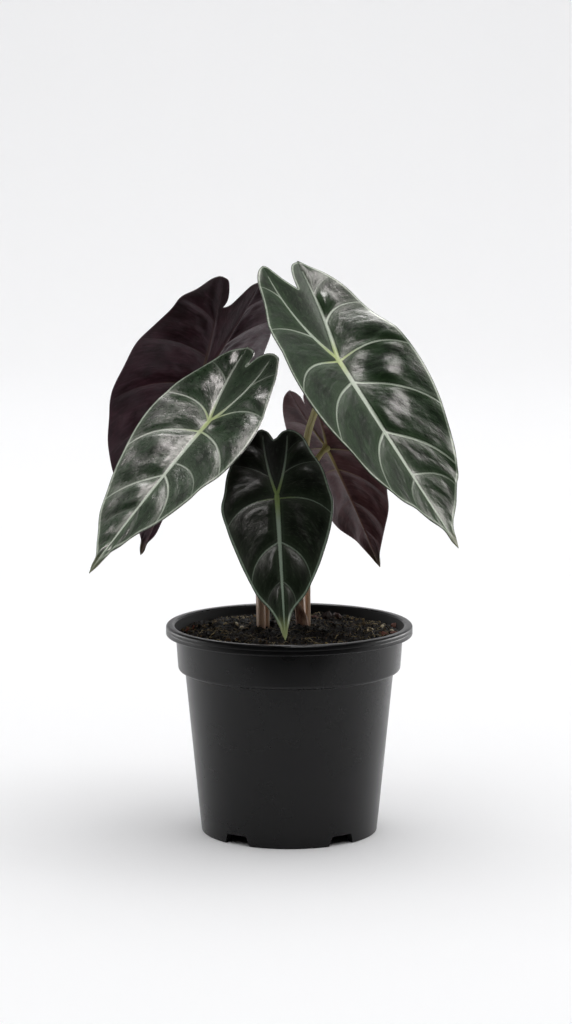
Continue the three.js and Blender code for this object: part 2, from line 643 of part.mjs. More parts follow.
function petioleTube(leaf, clearance) {
  const curve = petioleCurve(leaf);
  const { baseRadius, topRadius } = leaf.petiole;
  const length = curve.getLength();
  const steps = Math.round(length / PETIOLE_STEP);
  const frames = curve.computeFrenetFrames(steps, false);
  const points = [];
  const faces = [];
  for (let i = 0; i <= steps; i++) {
    const centre = curve.getPointAt(i / steps);
    const above = Math.max(0, length * i / steps - STEM_DEPTH);
    const sheath = Math.exp(-((above / SHEATH_HEIGHT) ** 2));
    const slim = mixed(baseRadius * PETIOLE_WAIST, topRadius, i / steps);
    const radius = mixed(slim, baseRadius, sheath) + clearance;
    for (let j = 0; j < PETIOLE_SIDES; j++) {
      const angle = 2 * Math.PI * j / PETIOLE_SIDES;
      points.push(centre.clone()
        .addScaledVector(frames.normals[i], radius * Math.cos(angle))
        .addScaledVector(frames.binormals[i], radius * Math.sin(angle)).toArray());
    }
  }
  const ring = (i, j) => i * PETIOLE_SIDES + (j % PETIOLE_SIDES);
  for (let j = 0; j < PETIOLE_SIDES; j++) {
    for (let i = 0; i < steps; i++) {
      faces.push([ring(i, j), ring(i, j + 1), ring(i + 1, j + 1)]);
      faces.push([ring(i, j), ring(i + 1, j + 1), ring(i + 1, j)]);
    }
  }
  const bottom = points.length;
  points.push(curve.getPointAt(0).addScaledVector(new THREE.Vector3(0, 0, -1), clearance).toArray());
  points.push(curve.getPointAt(1).toArray());
  for (let j = 0; j < PETIOLE_SIDES; j++) {
    faces.push([bottom, ring(0, j + 1), ring(0, j)], [bottom + 1, ring(steps, j), ring(steps, j + 1)]);
  }
  return fromTriangles(points, faces);
}

function makePetiole(leaf) {
  return named(`petiole_${leaf.name}`, petioleTube(leaf, 0), PETIOLE_OLIVE);
}

const plant = new THREE.Group();
plant.add(makePot(), makeSoil(LEAVES));
for (const leaf of LEAVES) plant.add(makePetiole(leaf), makeBlade(leaf));

export default plant;
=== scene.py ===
"""Looks of the potted alocasia chantrieri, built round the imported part.

The leaves, petioles, pot and soil repeat the part's named sizes and formulas on a finer mesh, in
millimetres, and are scaled to metres when a mesh is made.
"""

import math

import bmesh
import bpy
import numpy as np
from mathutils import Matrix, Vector, noise

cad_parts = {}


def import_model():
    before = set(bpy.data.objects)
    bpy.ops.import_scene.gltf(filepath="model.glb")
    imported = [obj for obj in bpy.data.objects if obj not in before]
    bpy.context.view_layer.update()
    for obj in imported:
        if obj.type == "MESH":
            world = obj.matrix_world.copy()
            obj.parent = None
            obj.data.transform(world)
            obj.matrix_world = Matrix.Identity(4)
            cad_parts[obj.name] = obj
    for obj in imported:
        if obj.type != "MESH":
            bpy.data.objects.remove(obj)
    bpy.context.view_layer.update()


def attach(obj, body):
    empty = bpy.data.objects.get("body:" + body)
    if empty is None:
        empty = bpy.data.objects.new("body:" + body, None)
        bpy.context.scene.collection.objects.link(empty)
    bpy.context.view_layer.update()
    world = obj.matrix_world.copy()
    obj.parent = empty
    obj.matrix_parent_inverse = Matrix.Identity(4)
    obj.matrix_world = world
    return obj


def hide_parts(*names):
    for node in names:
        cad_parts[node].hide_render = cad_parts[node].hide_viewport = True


MM = 0.001

# Sizes of the part
RIM_RADIUS = 60
POT_HEIGHT = 102
RIM_HEIGHT = 5
RIM_WIDTH = 4.2
RIM_ROUND = 0.8
LIP_ROUND = 0.4
HOLLOW_SLOPE = 1.8
BAND_TOP_RADIUS = 55.3
BAND_LOW_RADIUS = 54.1
STEP_HEIGHT = 80
STEP_FALL = 0.8
BODY_TOP_RADIUS = 50.8
SKIRT_RADIUS = 43.9
SKIRT_HEIGHT = 9
SKIRT_SLOPE = 0.2
BASE_RADIUS = 42.9
WALL = 1.3
FLOOR = 1.4
PAD_RADIUS = 26
PAD_INSET = 1
CHANNEL_HEIGHT = 5.6
CHANNEL_SLOPE = 1.6
FOOT_WIDTH = 3.2
FOOT_SLOPE = 1
NOTCHES = 5
NOTCH_WIDTH = 15
NOTCH_TOP_WIDTH = 11
NOTCH_HEIGHT = 5
DRAIN_RADIUS = 3
SOIL_EDGE_HEIGHT = 97
SOIL_MOUND = 2.6
SOIL_LUMP = 0.6
LUMP_LENGTHS = (3.1, 2.7, 4.3)
STEM_DEPTH = 15
BLADE_THICKNESS = 0.8
CREASE_WIDTH = 4
CREASE_SPREAD = 0.35
VEIN_WIDTH = 3.5
WAVE_LENGTH = 27
WAVE_START = 30
MOST_BOW = 0.24
INNER_SATIN = 0.1
BEND_STEPS = 12
PETIOLE_GAP = 0.4
PETIOLE_WAIST = 0.85
PETIOLE_TOP = 10
SHEATH_HEIGHT = 34

# Sizes of what only the scene has
RIB_SINK = 0.28
RIB_STAND = 0.62
EDGE_THIN = (0.45, 1.1)
HALF_GRAIN = 400
LOBE_GRAIN = 1200
LEAF_LUMPS = [(1.5, 8.5, 7.5, 0)]
LEAF_PUCKERS = [(0.2, 3.1, 4.2, 9), (0.08, 1.4, 1.9, 17)]
COLLAR = (0.9, 2.2)
NECK = (0.22, 11, 6)
SHEATH_GROWTH = 17
SHEATH_STEPS = (26, 22)
SHEATH_THICKNESS = 0.35
EDGE_ROUND = 0.5
STEP_ROUND = 1.4
GROOVE_HEIGHT = 99.2
GROOVE_WIDTH = 0.5
GROOVE_DEPTH = 0.16
PEAT_GRAIN = [(1.0, 5.2, 3), (0.75, 2.1, 11), (0.3, 0.8, 23)]
CRUMBS = 3800
CHIPS = 110
FIBRES = 460
CRUMB_REACH = 52.5
CHIP_REACH = 51
FIBRE_REACH = 50
PLACED_BITS = [  # place, size, flatness and tint of the bits that stand out, the palest first
    (-25.6, 6.5, 1.9, 0.4, 1.0), (-23.1, 3.8, 1.7, 0.6, 1.0), (-20.4, -2.5, 1.3, 0.4, 0.8),
    (45.5, 11.0, 1.3, 0.6, 1.0), (50.0, 4.0, 1.2, 0.5, 0.95), (40.5, 6.0, 1.2, 0.5, 0.9),
    (-45.0, 14.0, 1.3, 0.4, 0.8), (-36.0, 17.0, 1.2, 0.4, 0.8), (14.0, -43.0, 1.3, 0.5, 0.85),
    (52.0, 15.0, 2.2, 0.4, 0.3), (50.5, -1.0, 2.6, 0.35, 0.25), (46.0, -10.0, 2.0, 0.4, 0.3),
    (-50.0, -2.0, 2.2, 0.35, 0.25), (-47.0, 8.0, 1.8, 0.4, 0.3), (18.5, 30.0, 4.4, 0.55, 0.05),
    (24.0, 33.0, 3.6, 0.5, 0.1), (13.0, 27.0, 2.6, 0.5, 0.2),
]

# Sizes that materials, the studio and the camera take, in metres and degrees
# where the painted shade under the leaves centres on the soil, and how far it reaches
SHADE_CENTRE = (0.0, -0.002)
SHADE_REACH = (0.014, 0.036)
TABLE_FRONT = -0.22
TABLE_HALF = 2.2
SWEEP_START = 2.2
SWEEP_RADIUS = 1.2
SWEEP_STEPS = 16
WALL_TOP = 4.0
CAMERA_PLACE = (-0.0016, -1.5, 0.374)
CAMERA_FALL = 8.24
LENS = 110

# Fineness of the meshes
POT_SIDES = 256
DRAIN_SIDES = 32
SOIL_RINGS = 110
SOIL_SPOKES = 320
BLADE_STEP = 0.8
PETIOLE_SIDES = 28
PETIOLE_STEP = 0.8
LEAF_SHARP = 66
PETIOLE_SHARP = 60
POT_SHARP = 38

# The leaves, as in the part. A blade is drawn flat round its node, in halves seen from above, with the
# half widths of its midrib, basal veins and side veins. A half's outline runs from the tip by the margin
# to the apex of its lobe, and by the inner points to the sinus. Each of its side veins has the height
# where it starts, the height where it meets the margin, its bow and its strength. Domes are the soft
# swells and hollows, as place, radius and height.
LEAVES = [
    {
        "name": "right_front",
        "node": (22.9, -12, 232.4),
        "heading": -55, "droop": 40, "roll": 8, "twist": -4,
        "bend_tip": 0, "bend_lobes": -20,
        "fold": (20, 30), "curl": (8, 16),
        "tip": -123.5, "sinus": 45,
        "widths": (1.35, 1.1, 0.62),
        "left": {
            "margin": [(1, -119), (2, -111), (9, -99), (21.5, -84), (28.5, -67), (34.5, -49.5),
                       (37.5, -32), (38.3, -15), (36, 2), (32.6, 18), (27, 32), (23.3, 45), (21, 51.5),
                       (17.6, 57.3)],
            "apex": (14.2, 59.7), "inner": [(11.2, 58.6), (5.5, 51.3)], "basal": 3.5,
            "bulge": 0.6, "wave": 0.3, "lumpy": 0.12, "satin": 0.1, "domes": [],
            "veins": [(-100, -111, 1), (-80, -100, 2.6), (-49, -88, 4.6), (-16, -58, 5.8),
                      (-2, -27, 7), (15, 17, 3.5), (40, 47, 1.5)],
            "strengths": [0, 0.4, 0.8, 0.85, 0.9, 0.75, 0.6],
        },
        "right": {
            "margin": [(1.5, -119), (4, -111), (12, -99), (21, -84), (26.5, -67), (31, -49.5), (33.5, -32),
                       (34, -15), (32.5, 0), (27.5, 18), (23.2, 36), (16.8, 50.3), (10.2, 57.4)],
            "apex": (6.2, 60), "inner": [(2.6, 58.6), (0.6, 53)], "basal": 2.5,
            "bulge": 0.8, "wave": 0.8, "lumpy": 0.25, "satin": 0,
            "domes": [(3, -41, 15, 2.2), (16.5, -18.5, 11, 2.2), (19, 11.5, 15, 1.5),
                      (24, -38.5, 14.5, -1.9), (10, -12.5, 11, -1.5), (7.5, 32.5, 9.5, 2.2),
                      (17.5, -2.5, 10, -1.9), (1.5, -102.5, 12.5, -1.1), (14, -33.5, 11, 0.9),
                      (22.5, 24, 15, -0.9), (17.5, 3.5, 11, -1.9), (20.5, -68.5, 7.5, -1.2),
                      (28, -3.5, 11, 2.2), (15.5, -23.5, 6, 1.1)],
            "veins": [(-100, -110, 2), (-77, -94, 4), (-49, -85, 4), (-16, -52, 5), (-2, -13, 7.2),
                      (22, 26, 5), (40, 47, 1.5)],
            "strengths": [0, 0.65, 0.9, 0.9, 0.95, 0.9, 0.25],
        },
        "petiole": {
            "base": (6.2, 5.5), "radii": (2.1, 1.7),
            "via": [(5.2, 6.5, 130), (6.5, 7.5, 170), (9.5, 6.5, 196)],
        },
    },
    {
        "name": "left_front",
        "node": (-38.5, -18, 202.7),
        "heading": 226, "droop": 37, "roll": -4, "twist": 3,
        "bend_tip": 5, "bend_lobes": -40,
        "fold": (20, 0), "curl": (14, 0),
        "tip": -100.5, "sinus": 36,
        "widths": (1.25, 0.95, 0.55),
        "left": {
            "margin": [(1, -97), (3, -90.5), (9, -80.5), (15.5, -68.5), (20.5, -54), (24.5, -40),
                       (28, -26), (30, -12), (30, 0), (28.7, 13.5), (24.5, 26.5), (17.6, 37.7), (11, 43.4)],
            "apex": (5.4, 46.1), "inner": [(1.2, 45.1), (-0.7, 42.4), (-0.2, 39)], "basal": 3,
            "bulge": 2, "wave": 0.5, "lumpy": 0.3, "satin": 0,
            "domes": [(15, -24.5, 11, 0.7), (19, 19.5, 14.5, 1.1), (9, 25.5, 10, -1.2),
                      (6.5, 8, 15, -1.5), (10, -72, 15, -1.5), (10, -9.5, 8.5, -1.5), (5.5, 43, 10, -1.9),
                      (4, 42, 10, -1.9), (6.5, -42, 8.5, -1.9), (15.5, -54.5, 15, -1.9),
                      (16.5, 32, 15, 1.1), (25.5, -30.5, 15, -1.9)],
            "veins": [(-78, -88, 1), (-58, -77, 2), (-37, -63, 2.8), (-7, -32, 6.3), (0, 6.5, 5.8),
                      (25, 34, 1)],
            "strengths": [0, 0.15, 0.85, 0.95, 0.95, 0.4],
        },
        "right": {
            "margin": [(1, -97), (2.5, -90.5), (6, -80.5), (14, -68.5), (21, -54), (26.5, -40), (31, -26),
                       (32.5, -12), (31.2, 0), (27.8, 13.5), (22.8, 27), (20.2, 36.2), (17.6, 42.2)],
            "apex": (13, 44.6), "inner": [(8.3, 44.2), (3.6, 41.2)], "basal": 2,
            "bulge": 0.4, "wave": 0.5, "lumpy": 0.3, "satin": 0,
            "domes": [(7.5, -54.5, 13, 1.2), (21.5, 14, 15, 2.8), (27.5, -3.5, 15, 2.8),
                      (26.5, -14.5, 13, 2.8), (3, -3.5, 12.5, -1.9), (21.5, 15.5, 14.5, 1.1),
                      (1.5, -90.5, 12.5, 1.5), (24, 28, 14.5, -1.9), (1.5, -0.5, 14.5, -1.1),
                      (29, -23.5, 13, 1.1)],
            "veins": [(-78, -89, 1), (-58, -80, 2), (-37, -66, 4.4), (-29, -47, 5.4), (-7, -31, 4.7),
                      (0, 7.5, 5.7), (25, 34, 1)],
            "strengths": [0, 0.1, 0.85, 0.5, 0.85, 0.85, 0.5],
        },
        "petiole": {
            "base": (-13.4, 0), "radii": (2, 1.6),
            "via": [(-14.5, 0.5, 130), (-18.5, 1, 165), (-27, -1.5, 187)],
        },
    },
    {
        "name": "front",
        "node": (-5.9, -33, 169.2),
        "heading": -84, "droop": 58, "roll": 5, "twist": 3,
        "bend_tip": 10, "bend_lobes": 15,
        "fold": (13, 18), "curl": (10, 12),
        "tip": -72, "sinus": 30,
        "widths": (1.2, 0.7, 0.36),
        "left": {
            "margin": [(1, -69.5), (2.5, -65), (6.5, -57.5), (13, -49), (18, -39), (21.5, -29),
                       (25, -18.5), (27.5, -8.5), (25.7, 0), (23.4, 11), (18.4, 21.5), (12.6, 30),
                       (8.6, 34)],
            "apex": (5, 35.8), "inner": [(2.4, 34.3), (0.9, 31.8)], "basal": 1.5,
            "bulge": 1.8, "wave": 0.6, "lumpy": 0.6, "satin": 0.3, "domes": [],
            "veins": [(-43, -56, 2), (-23.5, -46, 3.9), (-1.5, -18, 4.5), (9.5, 15, 2), (22, 29, 1)],
            "strengths": [0.2, 0.65, 0.7, 0.35, 0.1],
        },
        "right": {
            "margin": [(1, -69.5), (2, -65), (5, -57.5), (12, -49), (18, -39), (22, -29), (25.5, -18.5),
                       (27.5, -8.5), (26, 0), (23.1, 11), (18.1, 21), (14.6, 29.4), (10.9, 33.2)],
            "apex": (6.8, 34.8), "inner": [(3.9, 33.8), (2, 31.4)], "basal": 1.5,
            "bulge": 1.8, "wave": 0.6, "lumpy": 0.6, "satin": 0.3, "domes": [],
            "veins": [(-43, -56, 2), (-23.5, -45.5, 3.9), (-1.5, -14, 4), (11.5, 14, 2.5), (22, 29, 1)],
            "strengths": [0.35, 0.65, 0.7, 0.4, 0.15],
        },
        "petiole": {
            "base": (-11.2, 4.6), "radii": (1.5, 1.3),
            "via": [(-10.8, 3.6, 120), (-9.8, -1, 142), (-8, -10, 157)],
        },
    },
    {
        "name": "left_back",
        "node": (-43.5, 33, 217.4),
        "heading": 118, "droop": 60, "roll": 6, "twist": 8,
        "bend_tip": -12, "bend_lobes": 14,
        "fold": (24, 18), "curl": (16, 10),
        "tip": -123, "sinus": 44.8,
        "widths": (1.35, 1.1, 0.6),
        "left": {
            "margin": [(1.2, -119), (2.2, -111.5), (5, -99), (11, -84.5), (20, -67), (31, -49.5),
                       (38.5, -32), (43, -15), (43.3, 0), (38, 19.5), (29, 38), (22.5, 51), (18.8, 58)],
            "apex": (15, 61.2), "inner": [(11, 58.9), (7, 52.2), (3.6, 46.6)], "basal": 2,
            "bulge": 2.2, "wave": 0.8, "lumpy": 0.7, "satin": 0, "domes": [],
            "veins": [(-78, -96, 2), (-50, -76, 4), (-22, -50, 6), (-2, -12, 6), (22, 32, 3), (45, 50, 1)],
            "strengths": [0.5, 0.8, 0.9, 0.9, 0.7, 0.3],
        },
        "right": {
            "margin": [(1.5, -119), (3, -111.5), (8.5, -99), (17, -84.5), (28.5, -67), (36, -49.5),
                       (39.4, -32), (41.4, -17), (38.5, 0), (35.7, 15), (29.8, 28.2), (24.2, 39),
                       (21.4, 46.8), (16, 54), (10.4, 61)],
            "apex": (5, 63.9), "inner": [(1.8, 62.1), (0, 57.5), (-1.2, 50)], "basal": -1,
            "bulge": 2.2, "wave": 0.8, "lumpy": 0.7, "satin": 0, "domes": [],
            "veins": [(-78, -96, 2.5), (-50, -79, 5), (-22, -54, 6), (-2, -22, 6), (15, 18, 4.5),
                      (36, 47, 2)],
            "strengths": [0.5, 0.8, 0.9, 0.9, 0.7, 0.3],
        },
        "petiole": {
            "base": (-13.9, 8.3), "radii": (2, 1.7),
            "via": [(-15.5, 8.6, 130), (-22, 10.5, 170), (-32, 15, 197)],
        },
    },
    {
        "name": "right_back",
        "node": (18.6, 29, 185),
        "heading": 48, "droop": 55, "roll": -4, "twist": 2,
        "bend_tip": 8, "bend_lobes": 8,
        "fold": (8, 4), "curl": (7, 7),
        "tip": -76.5, "sinus": 27,
        "widths": (1.1, 0.8, 0.42),
        "left": {
            "margin": [(1, -74), (2.7, -69), (6.4, -61.5), (12.3, -52), (18, -41.5), (22, -30.5),
                       (25.6, -20), (27, -9), (25.5, 0), (22, 11), (17.2, 21.5), (12.9, 30), (9.6, 34.2)],
            "apex": (6, 36.2), "inner": [(3, 34.9), (0.9, 31.5)], "basal": 1.5,
            "bulge": 1.6, "wave": 0.6, "lumpy": 0.5, "satin": 0, "domes": [],
            "veins": [(-52, -64, 1.5), (-34, -53, 3), (-14, -34, 4), (-1, -14, 4), (13, 14, 2)],
            "strengths": [0.4, 0.7, 0.9, 0.9, 0.6],
        },
        "right": {
            "margin": [(1.4, -74), (3.2, -69.5), (9, -61.8), (17.6, -52.3), (22.6, -41.5), (25.7, -30.5),
                       (27, -20), (27, -9), (25, 0), (21.7, 11), (17.2, 21.5), (12, 30.6), (8.3, 34.6)],
            "apex": (5.1, 36.2), "inner": [(2.3, 35.1), (0.4, 32)], "basal": 1.5,
            "bulge": 1.6, "wave": 0.6, "lumpy": 0.5, "satin": 0, "domes": [],
            "veins": [(-52, -64, 1.5), (-34, -53, 3), (-14, -35, 4), (-1, -14, 4), (13, 14, 2)],
            "strengths": [0.4, 0.7, 0.9, 0.9, 0.6],
        },
        "petiole": {
            "base": (8.9, 9.8), "radii": (1.5, 1.2),
            "via": [(9, 10.6, 118), (9.6, 13, 145), (11.8, 18, 165)],
        },
    },
]


# Node trees


def tone(red, green, blue):
    """A colour given as the eye reads it, 0 to 255, as the linear colour that shaders take."""
    def linear(value):
        value /= 255
        return value / 12.92 if value <= 0.04045 else ((value + 0.055) / 1.055) ** 2.4
    return (linear(red), linear(green), linear(blue), 1.0)


class Nodes:
    """A node tree, with short ways to add the nodes that work out its colours and heights."""

    def __init__(self, owner):
        owner.use_nodes = True
        self.tree = owner.node_tree
        self.tree.nodes.clear()

    def new(self, kind):
        return self.tree.nodes.new(f"ShaderNode{kind}")

    def feed(self, socket, value):
        if isinstance(value, bpy.types.NodeSocket):
            self.tree.links.new(value, socket)
        else:
            socket.default_value = value

    def attribute(self, name, output="Fac"):
        node = self.new("Attribute")
        node.attribute_name = name
        return node.outputs[output]

    def place(self, kind="Object"):
        return self.new("TexCoord").outputs[kind]

    def parts(self, vector):
        node = self.new("SeparateXYZ")
        self.feed(node.inputs[0], vector)
        return node.outputs

    def from_axis(self, x=0.0, y=0.0):
        """The distance from an upright line, in metres."""
        place = self.parts(self.place())
        across, along = self.math("SUBTRACT", place[0], x), self.math("SUBTRACT", place[1], y)
        squares = [self.times(part, part) for part in (across, along)]
        return self.math("SQRT", self.math("ADD", *squares))

    def scaled(self, vector, scale):
        node = self.new("Mapping")
        self.feed(node.inputs["Vector"], vector)
        node.inputs["Scale"].default_value = scale
        return node.outputs["Vector"]

    def noise(self, vector, scale, detail=2.0, roughness=0.5, distortion=0.0):
        node = self.new("TexNoise")
        self.feed(node.inputs["Vector"], vector)
        for name, value in (("Scale", scale), ("Detail", detail), ("Roughness", roughness),
                            ("Distortion", distortion)):
            node.inputs[name].default_value = value
        return node.outputs["Fac"]

    def math(self, operation, first, second=0.0):
        node = self.new("Math")
        node.operation = operation
        self.feed(node.inputs[0], first)
        self.feed(node.inputs[1], second)
        return node.outputs[0]

    def times(self, first, second):
        return self.math("MULTIPLY", first, second)

    def between(self, value, low, high, out_low=0.0, out_high=1.0, kind="SMOOTHSTEP"):
        """out_low at low and below, out_high at high and above, and in between by the kind of slope."""
        node = self.new("MapRange")
        node.interpolation_type = kind
        self.feed(node.inputs["Value"], value)
        names = ("From Min", "From Max", "To Min", "To Max")
        for name, number in zip(names, (low, high, out_low, out_high)):
            node.inputs[name].default_value = number
        return node.outputs["Result"]

    def hill(self, value, centre, width):
        """1 where the value is centre, 0 where it is width or more away."""
        away = self.math("ABSOLUTE", self.math("SUBTRACT", value, centre))
        return self.between(away, 0.0, width, 1.0, 0.0)

    def mix(self, factor, first, second):
        node = self.new("Mix")
        node.data_type = "RGBA"
        self.feed(node.inputs[0], factor)
        self.feed(node.inputs[6], first)
        self.feed(node.inputs[7], second)
        return node.outputs[2]

    def bump(self, height, distance, strength=1.0, under=None):
        node = self.new("Bump")
        node.inputs["Strength"].default_value = strength
        node.inputs["Distance"].default_value = distance
        self.feed(node.inputs["Height"], height)
        if under is not None:
            self.feed(node.inputs["Normal"], under)
        return node.outputs["Normal"]


class Shader(Nodes):
    """One material with a Principled shader."""

    NAMES = {"colour": "Base Color", "roughness": "Roughness", "normal": "Normal",
             "specular": "Specular IOR Level", "specular_tint": "Specular Tint",
             "coat": "Coat Weight", "coat_roughness": "Coat Roughness",
             "sheen": "Sheen Weight", "sheen_roughness": "Sheen Roughness", "sheen_tint": "Sheen Tint"}

    def __init__(self, name):
        self.material = bpy.data.materials.new(name)
        super().__init__(self.material)
        self.surface = self.new("BsdfPrincipled")
        self.feed(self.new("OutputMaterial").inputs["Surface"], self.surface.outputs[0])

    def finished(self, **values):
        """The material, with each named input of the shader fed by a value or by other nodes."""
        for name, value in values.items():
            self.feed(self.surface.inputs[self.NAMES[name]], value)
        return self.material


# Meshes


def new_object(name, points, faces, materials, smooth=True, slots=None, sharp=None):
    """An object from points in millimetres."""
    mesh = bpy.data.meshes.new(name)
    mesh.from_pydata((np.asarray(points, float) * MM).tolist(), [], faces)
    mesh.update()
    piece = bpy.data.objects.new(name, mesh)
    bpy.context.scene.collection.objects.link(piece)
    for material in materials:
        mesh.materials.append(material)
    mesh.polygons.foreach_set("use_smooth", [smooth] * len(mesh.polygons))
    if slots is not None:
        mesh.polygons.foreach_set("material_index", slots)
    if sharp is not None:
        mesh.set_sharp_from_angle(angle=math.radians(sharp))
    return piece


def store(piece, name, values):
    """A value or a vector for each point of the piece's mesh, which its material reads."""
    values = np.asarray(values, float)
    kind, field = ("FLOAT", "value") if values.ndim == 1 else ("FLOAT_VECTOR", "vector")
    piece.data.attributes.new(name, kind, "POINT").data.foreach_set(field, values.ravel())


def belongs(piece, slot, *nodes):
    """The piece, riding on the only body, and in place of the nodes; the slot is not used."""
    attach(piece, "root")
    if nodes:
        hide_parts(*nodes)
    return piece


def mixed(a, b, t):
    """a at 0, b at 1, and evenly between them."""
    return a + (b - a) * t


def smooth_step(value, low, high):
    """0 at low, 1 at high, and smooth between them."""
    t = np.clip((value - low) / (high - low), 0, 1)
    return t * t * (3 - 2 * t)


def spread(count, ease=0.4):
    """Steps from 0 to 1 that are closer together at both ends."""
    t = np.linspace(0, 1, count + 1)
    return t - ease * np.sin(2 * np.pi * t) / (2 * np.pi)


def spline(points, t):
    """A smooth curve through flat points, evenly shared out over 0 to 1."""
    points = np.asarray(points, float)
    last = len(points) - 1
    s = np.clip(np.asarray(t, float), 0, 1) * last
    i = np.floor(s).astype(int)
    w = (s - i)[..., None]
    p0, p1 = points[np.maximum(i - 1, 0)], points[i]
    p2, p3 = points[np.minimum(i + 1, last)], points[np.minimum(i + 2, last)]
    v0, v1 = (p2 - p0) / 2, (p3 - p1) / 2
    return (2 * p1 - 2 * p2 + v0 + v1) * w ** 3 + (-3 * p1 + 3 * p2 - 2 * v0 - v1) * w ** 2 + v0 * w + p1


def bowed(a, b, bow, t):
    """Points on curves from a to b that bow out to their left."""
    d = b - a
    length = np.hypot(d[..., 0], d[..., 1])
    length = np.where(length == 0, 1, length)
    most = MOST_BOW * length
    lift = 4 * np.clip(bow, -most, most) * t * (1 - t) / length
    return np.stack([a[..., 0] + d[..., 0] * t - d[..., 1] * lift,
                     a[..., 1] + d[..., 1] * t + d[..., 0] * lift], -1)


def line_distance(points, line):
    """For each point its distance from a line of points, and how far along the line that is, 0 to 1."""
    a, b = line[:-1], line[1:]
    d = b - a
    square = np.maximum((d ** 2).sum(1), 1e-12)
    best = np.full(len(points), np.inf)
    along = np.zeros(len(points))
    for k in range(len(a)):
        t = np.clip(((points - a[k]) @ d[k]) / square[k], 0, 1)
        away = np.hypot(*(points - a[k] - t[:, None] * d[k]).T)
        closer = away < best
        best[closer] = away[closer]
        along[closer] = (k + t[closer]) / len(a)
    return best, along


# Leaf blades: the flat drawing


class Half:
    """One half of a blade: rows that run from the midrib or the basal vein out to the margin."""

    def __init__(self, leaf, half):
        self.leaf = leaf
        self.apex = np.array(half["apex"], float)
        self.basal, self.bulge, self.wave = half["basal"], half["bulge"], half["wave"]
        self.domes, self.lumpy, self.satin = half["domes"], half["lumpy"], half["satin"]
        self.margin_points = [(0, leaf["tip"]), *half["margin"], half["apex"]]
        self.inner_points = [(0, leaf["sinus"]), *half["inner"][::-1], half["apex"]]
        self.starts = [leaf["tip"], *(vein[0] for vein in half["veins"]), self.apex[1]]
        self.ends = [0, *(self.margin_at(vein[1]) for vein in half["veins"]), 1]
        self.bows = [0, *(vein[2] for vein in half["veins"]), 0]
        self.strengths = half["strengths"]

    def margin_at(self, height):
        """How far along the margin, 0 to 1, the height is reached."""
        low, high = 0.0, 1.0
        for _ in range(40):
            middle = (low + high) / 2
            if spline(self.margin_points, middle)[1] < height:
                low = middle
            else:
                high = middle
        return (low + high) / 2

    def spine(self, y):
        """Points of the midrib below the node, and of the basal vein above it."""
        y = np.asarray(y, float)
        lobe = bowed(np.zeros(2), self.apex, -self.basal, np.maximum(y, 0) / self.apex[1])
        return np.where((y > 0)[..., None], lobe, np.stack([np.zeros_like(y), y], -1))

    def row(self, start, end, bow, u):
        """Points from the spine, at a height, to the margin, at a share of its length."""
        return bowed(self.spine(start), spline(self.margin_points, end), bow, u)

    def sample(self, y, u):
        """Flat places, and their distances from the veins on either side and from the spine."""
        starts, ends, bows = (np.array(v, float) for v in (self.starts, self.ends, self.bows))
        k = np.searchsorted(starts[1:-1], y, side="right")
        t = (y - starts[k]) / (starts[k + 1] - starts[k])
        at = self.row(y, mixed(ends[k], ends[k + 1], t), mixed(bows[k], bows[k + 1], t), u)
        gap = np.linalg.norm(self.row(starts[k + 1], ends[k + 1], bows[k + 1], u)
                             - self.row(starts[k], ends[k], bows[k], u), axis=-1)
        out = np.linalg.norm(at - self.spine(y), axis=-1)
        return at, t * gap, (1 - t) * gap, out

    def inner_edge(self, y):
        """Points of the lobe's inner edge, and of the midrib's line below the sinus."""
        t = np.clip((y - self.leaf["sinus"]) / (self.apex[1] - self.leaf["sinus"]), 0, 1)
        edge = spline(self.inner_points, t)
        return np.where((y > self.leaf["sinus"])[..., None], edge, np.stack([np.zeros_like(y), y], -1))

    def outline(self):
        margin = spline(self.margin_points, np.linspace(0, 1, 260))
        return np.vstack([margin, spline(self.inner_points, np.linspace(1, 0, 60))])

    def veins(self):
        """Each vein as a line of points, its half width at the start and at the end, and its strength."""
        middle, basal, side = self.leaf["widths"]
        spine = self.spine(np.linspace(0, self.leaf["tip"] * 0.985, 60))
        lobe = self.spine(np.linspace(0, self.apex[1] * 0.9, 50))
        lines = [(spine, middle, 0.2, 1, 0.15), (lobe, basal, 0.22, 0.95, 0.4)]
        stations = list(zip(self.starts, self.ends, self.bows))[1:-1]
        u = np.linspace(0, 0.97, 40)
        for (start, end, bow), strength in zip(stations, self.strengths):
            if strength > 0:
                line = self.row(0 * u + start, 0 * u + end, bow, u)
                width = side * (0.45 + 0.55 * strength)
                lines.append((line, width, width * 0.4, strength, 0.4))
        return lines


def spine_heights(leaf, halves):
    """Heights from tip to lobes where rows start, with one at each vein and close steps between them."""
    stops = {float(leaf["tip"]), 0.0, float(leaf["sinus"])}
    stops |= {float(start) for half in halves for start in half.starts[1:-1]}
    stops = sorted(stops) + [min(half.apex[1] for half in halves)]
    heights = []
    for low, high in zip(stops, stops[1:]):
        ends = [half.sample(np.array([low, high - 1e-6]), np.array([1.0, 1.0]))[0] for half in halves]
        longest = max([high - low] + [np.linalg.norm(end[1] - end[0]) for end in ends])
        steps = spread(max(1, math.ceil(longest / BLADE_STEP)))
        heights += list(mixed(low, high, steps[:-1]))
    return np.array(heights)


def noise_sum(place, layers):
    """The sum of layers of noise, each given as its height, its two lengths and where it is cut."""
    x, y = place
    return sum(height * noise.noise(Vector((x / a, y / b, cut))) for height, a, b, cut in layers)


def wrinkles(grain, seed, table):
    """Irregular lumps or puckers, in millimetres."""
    layers = [(height, a, b, seed + cut) for height, a, b, cut in table]
    return np.array([noise_sum(place, layers) for place in grain])


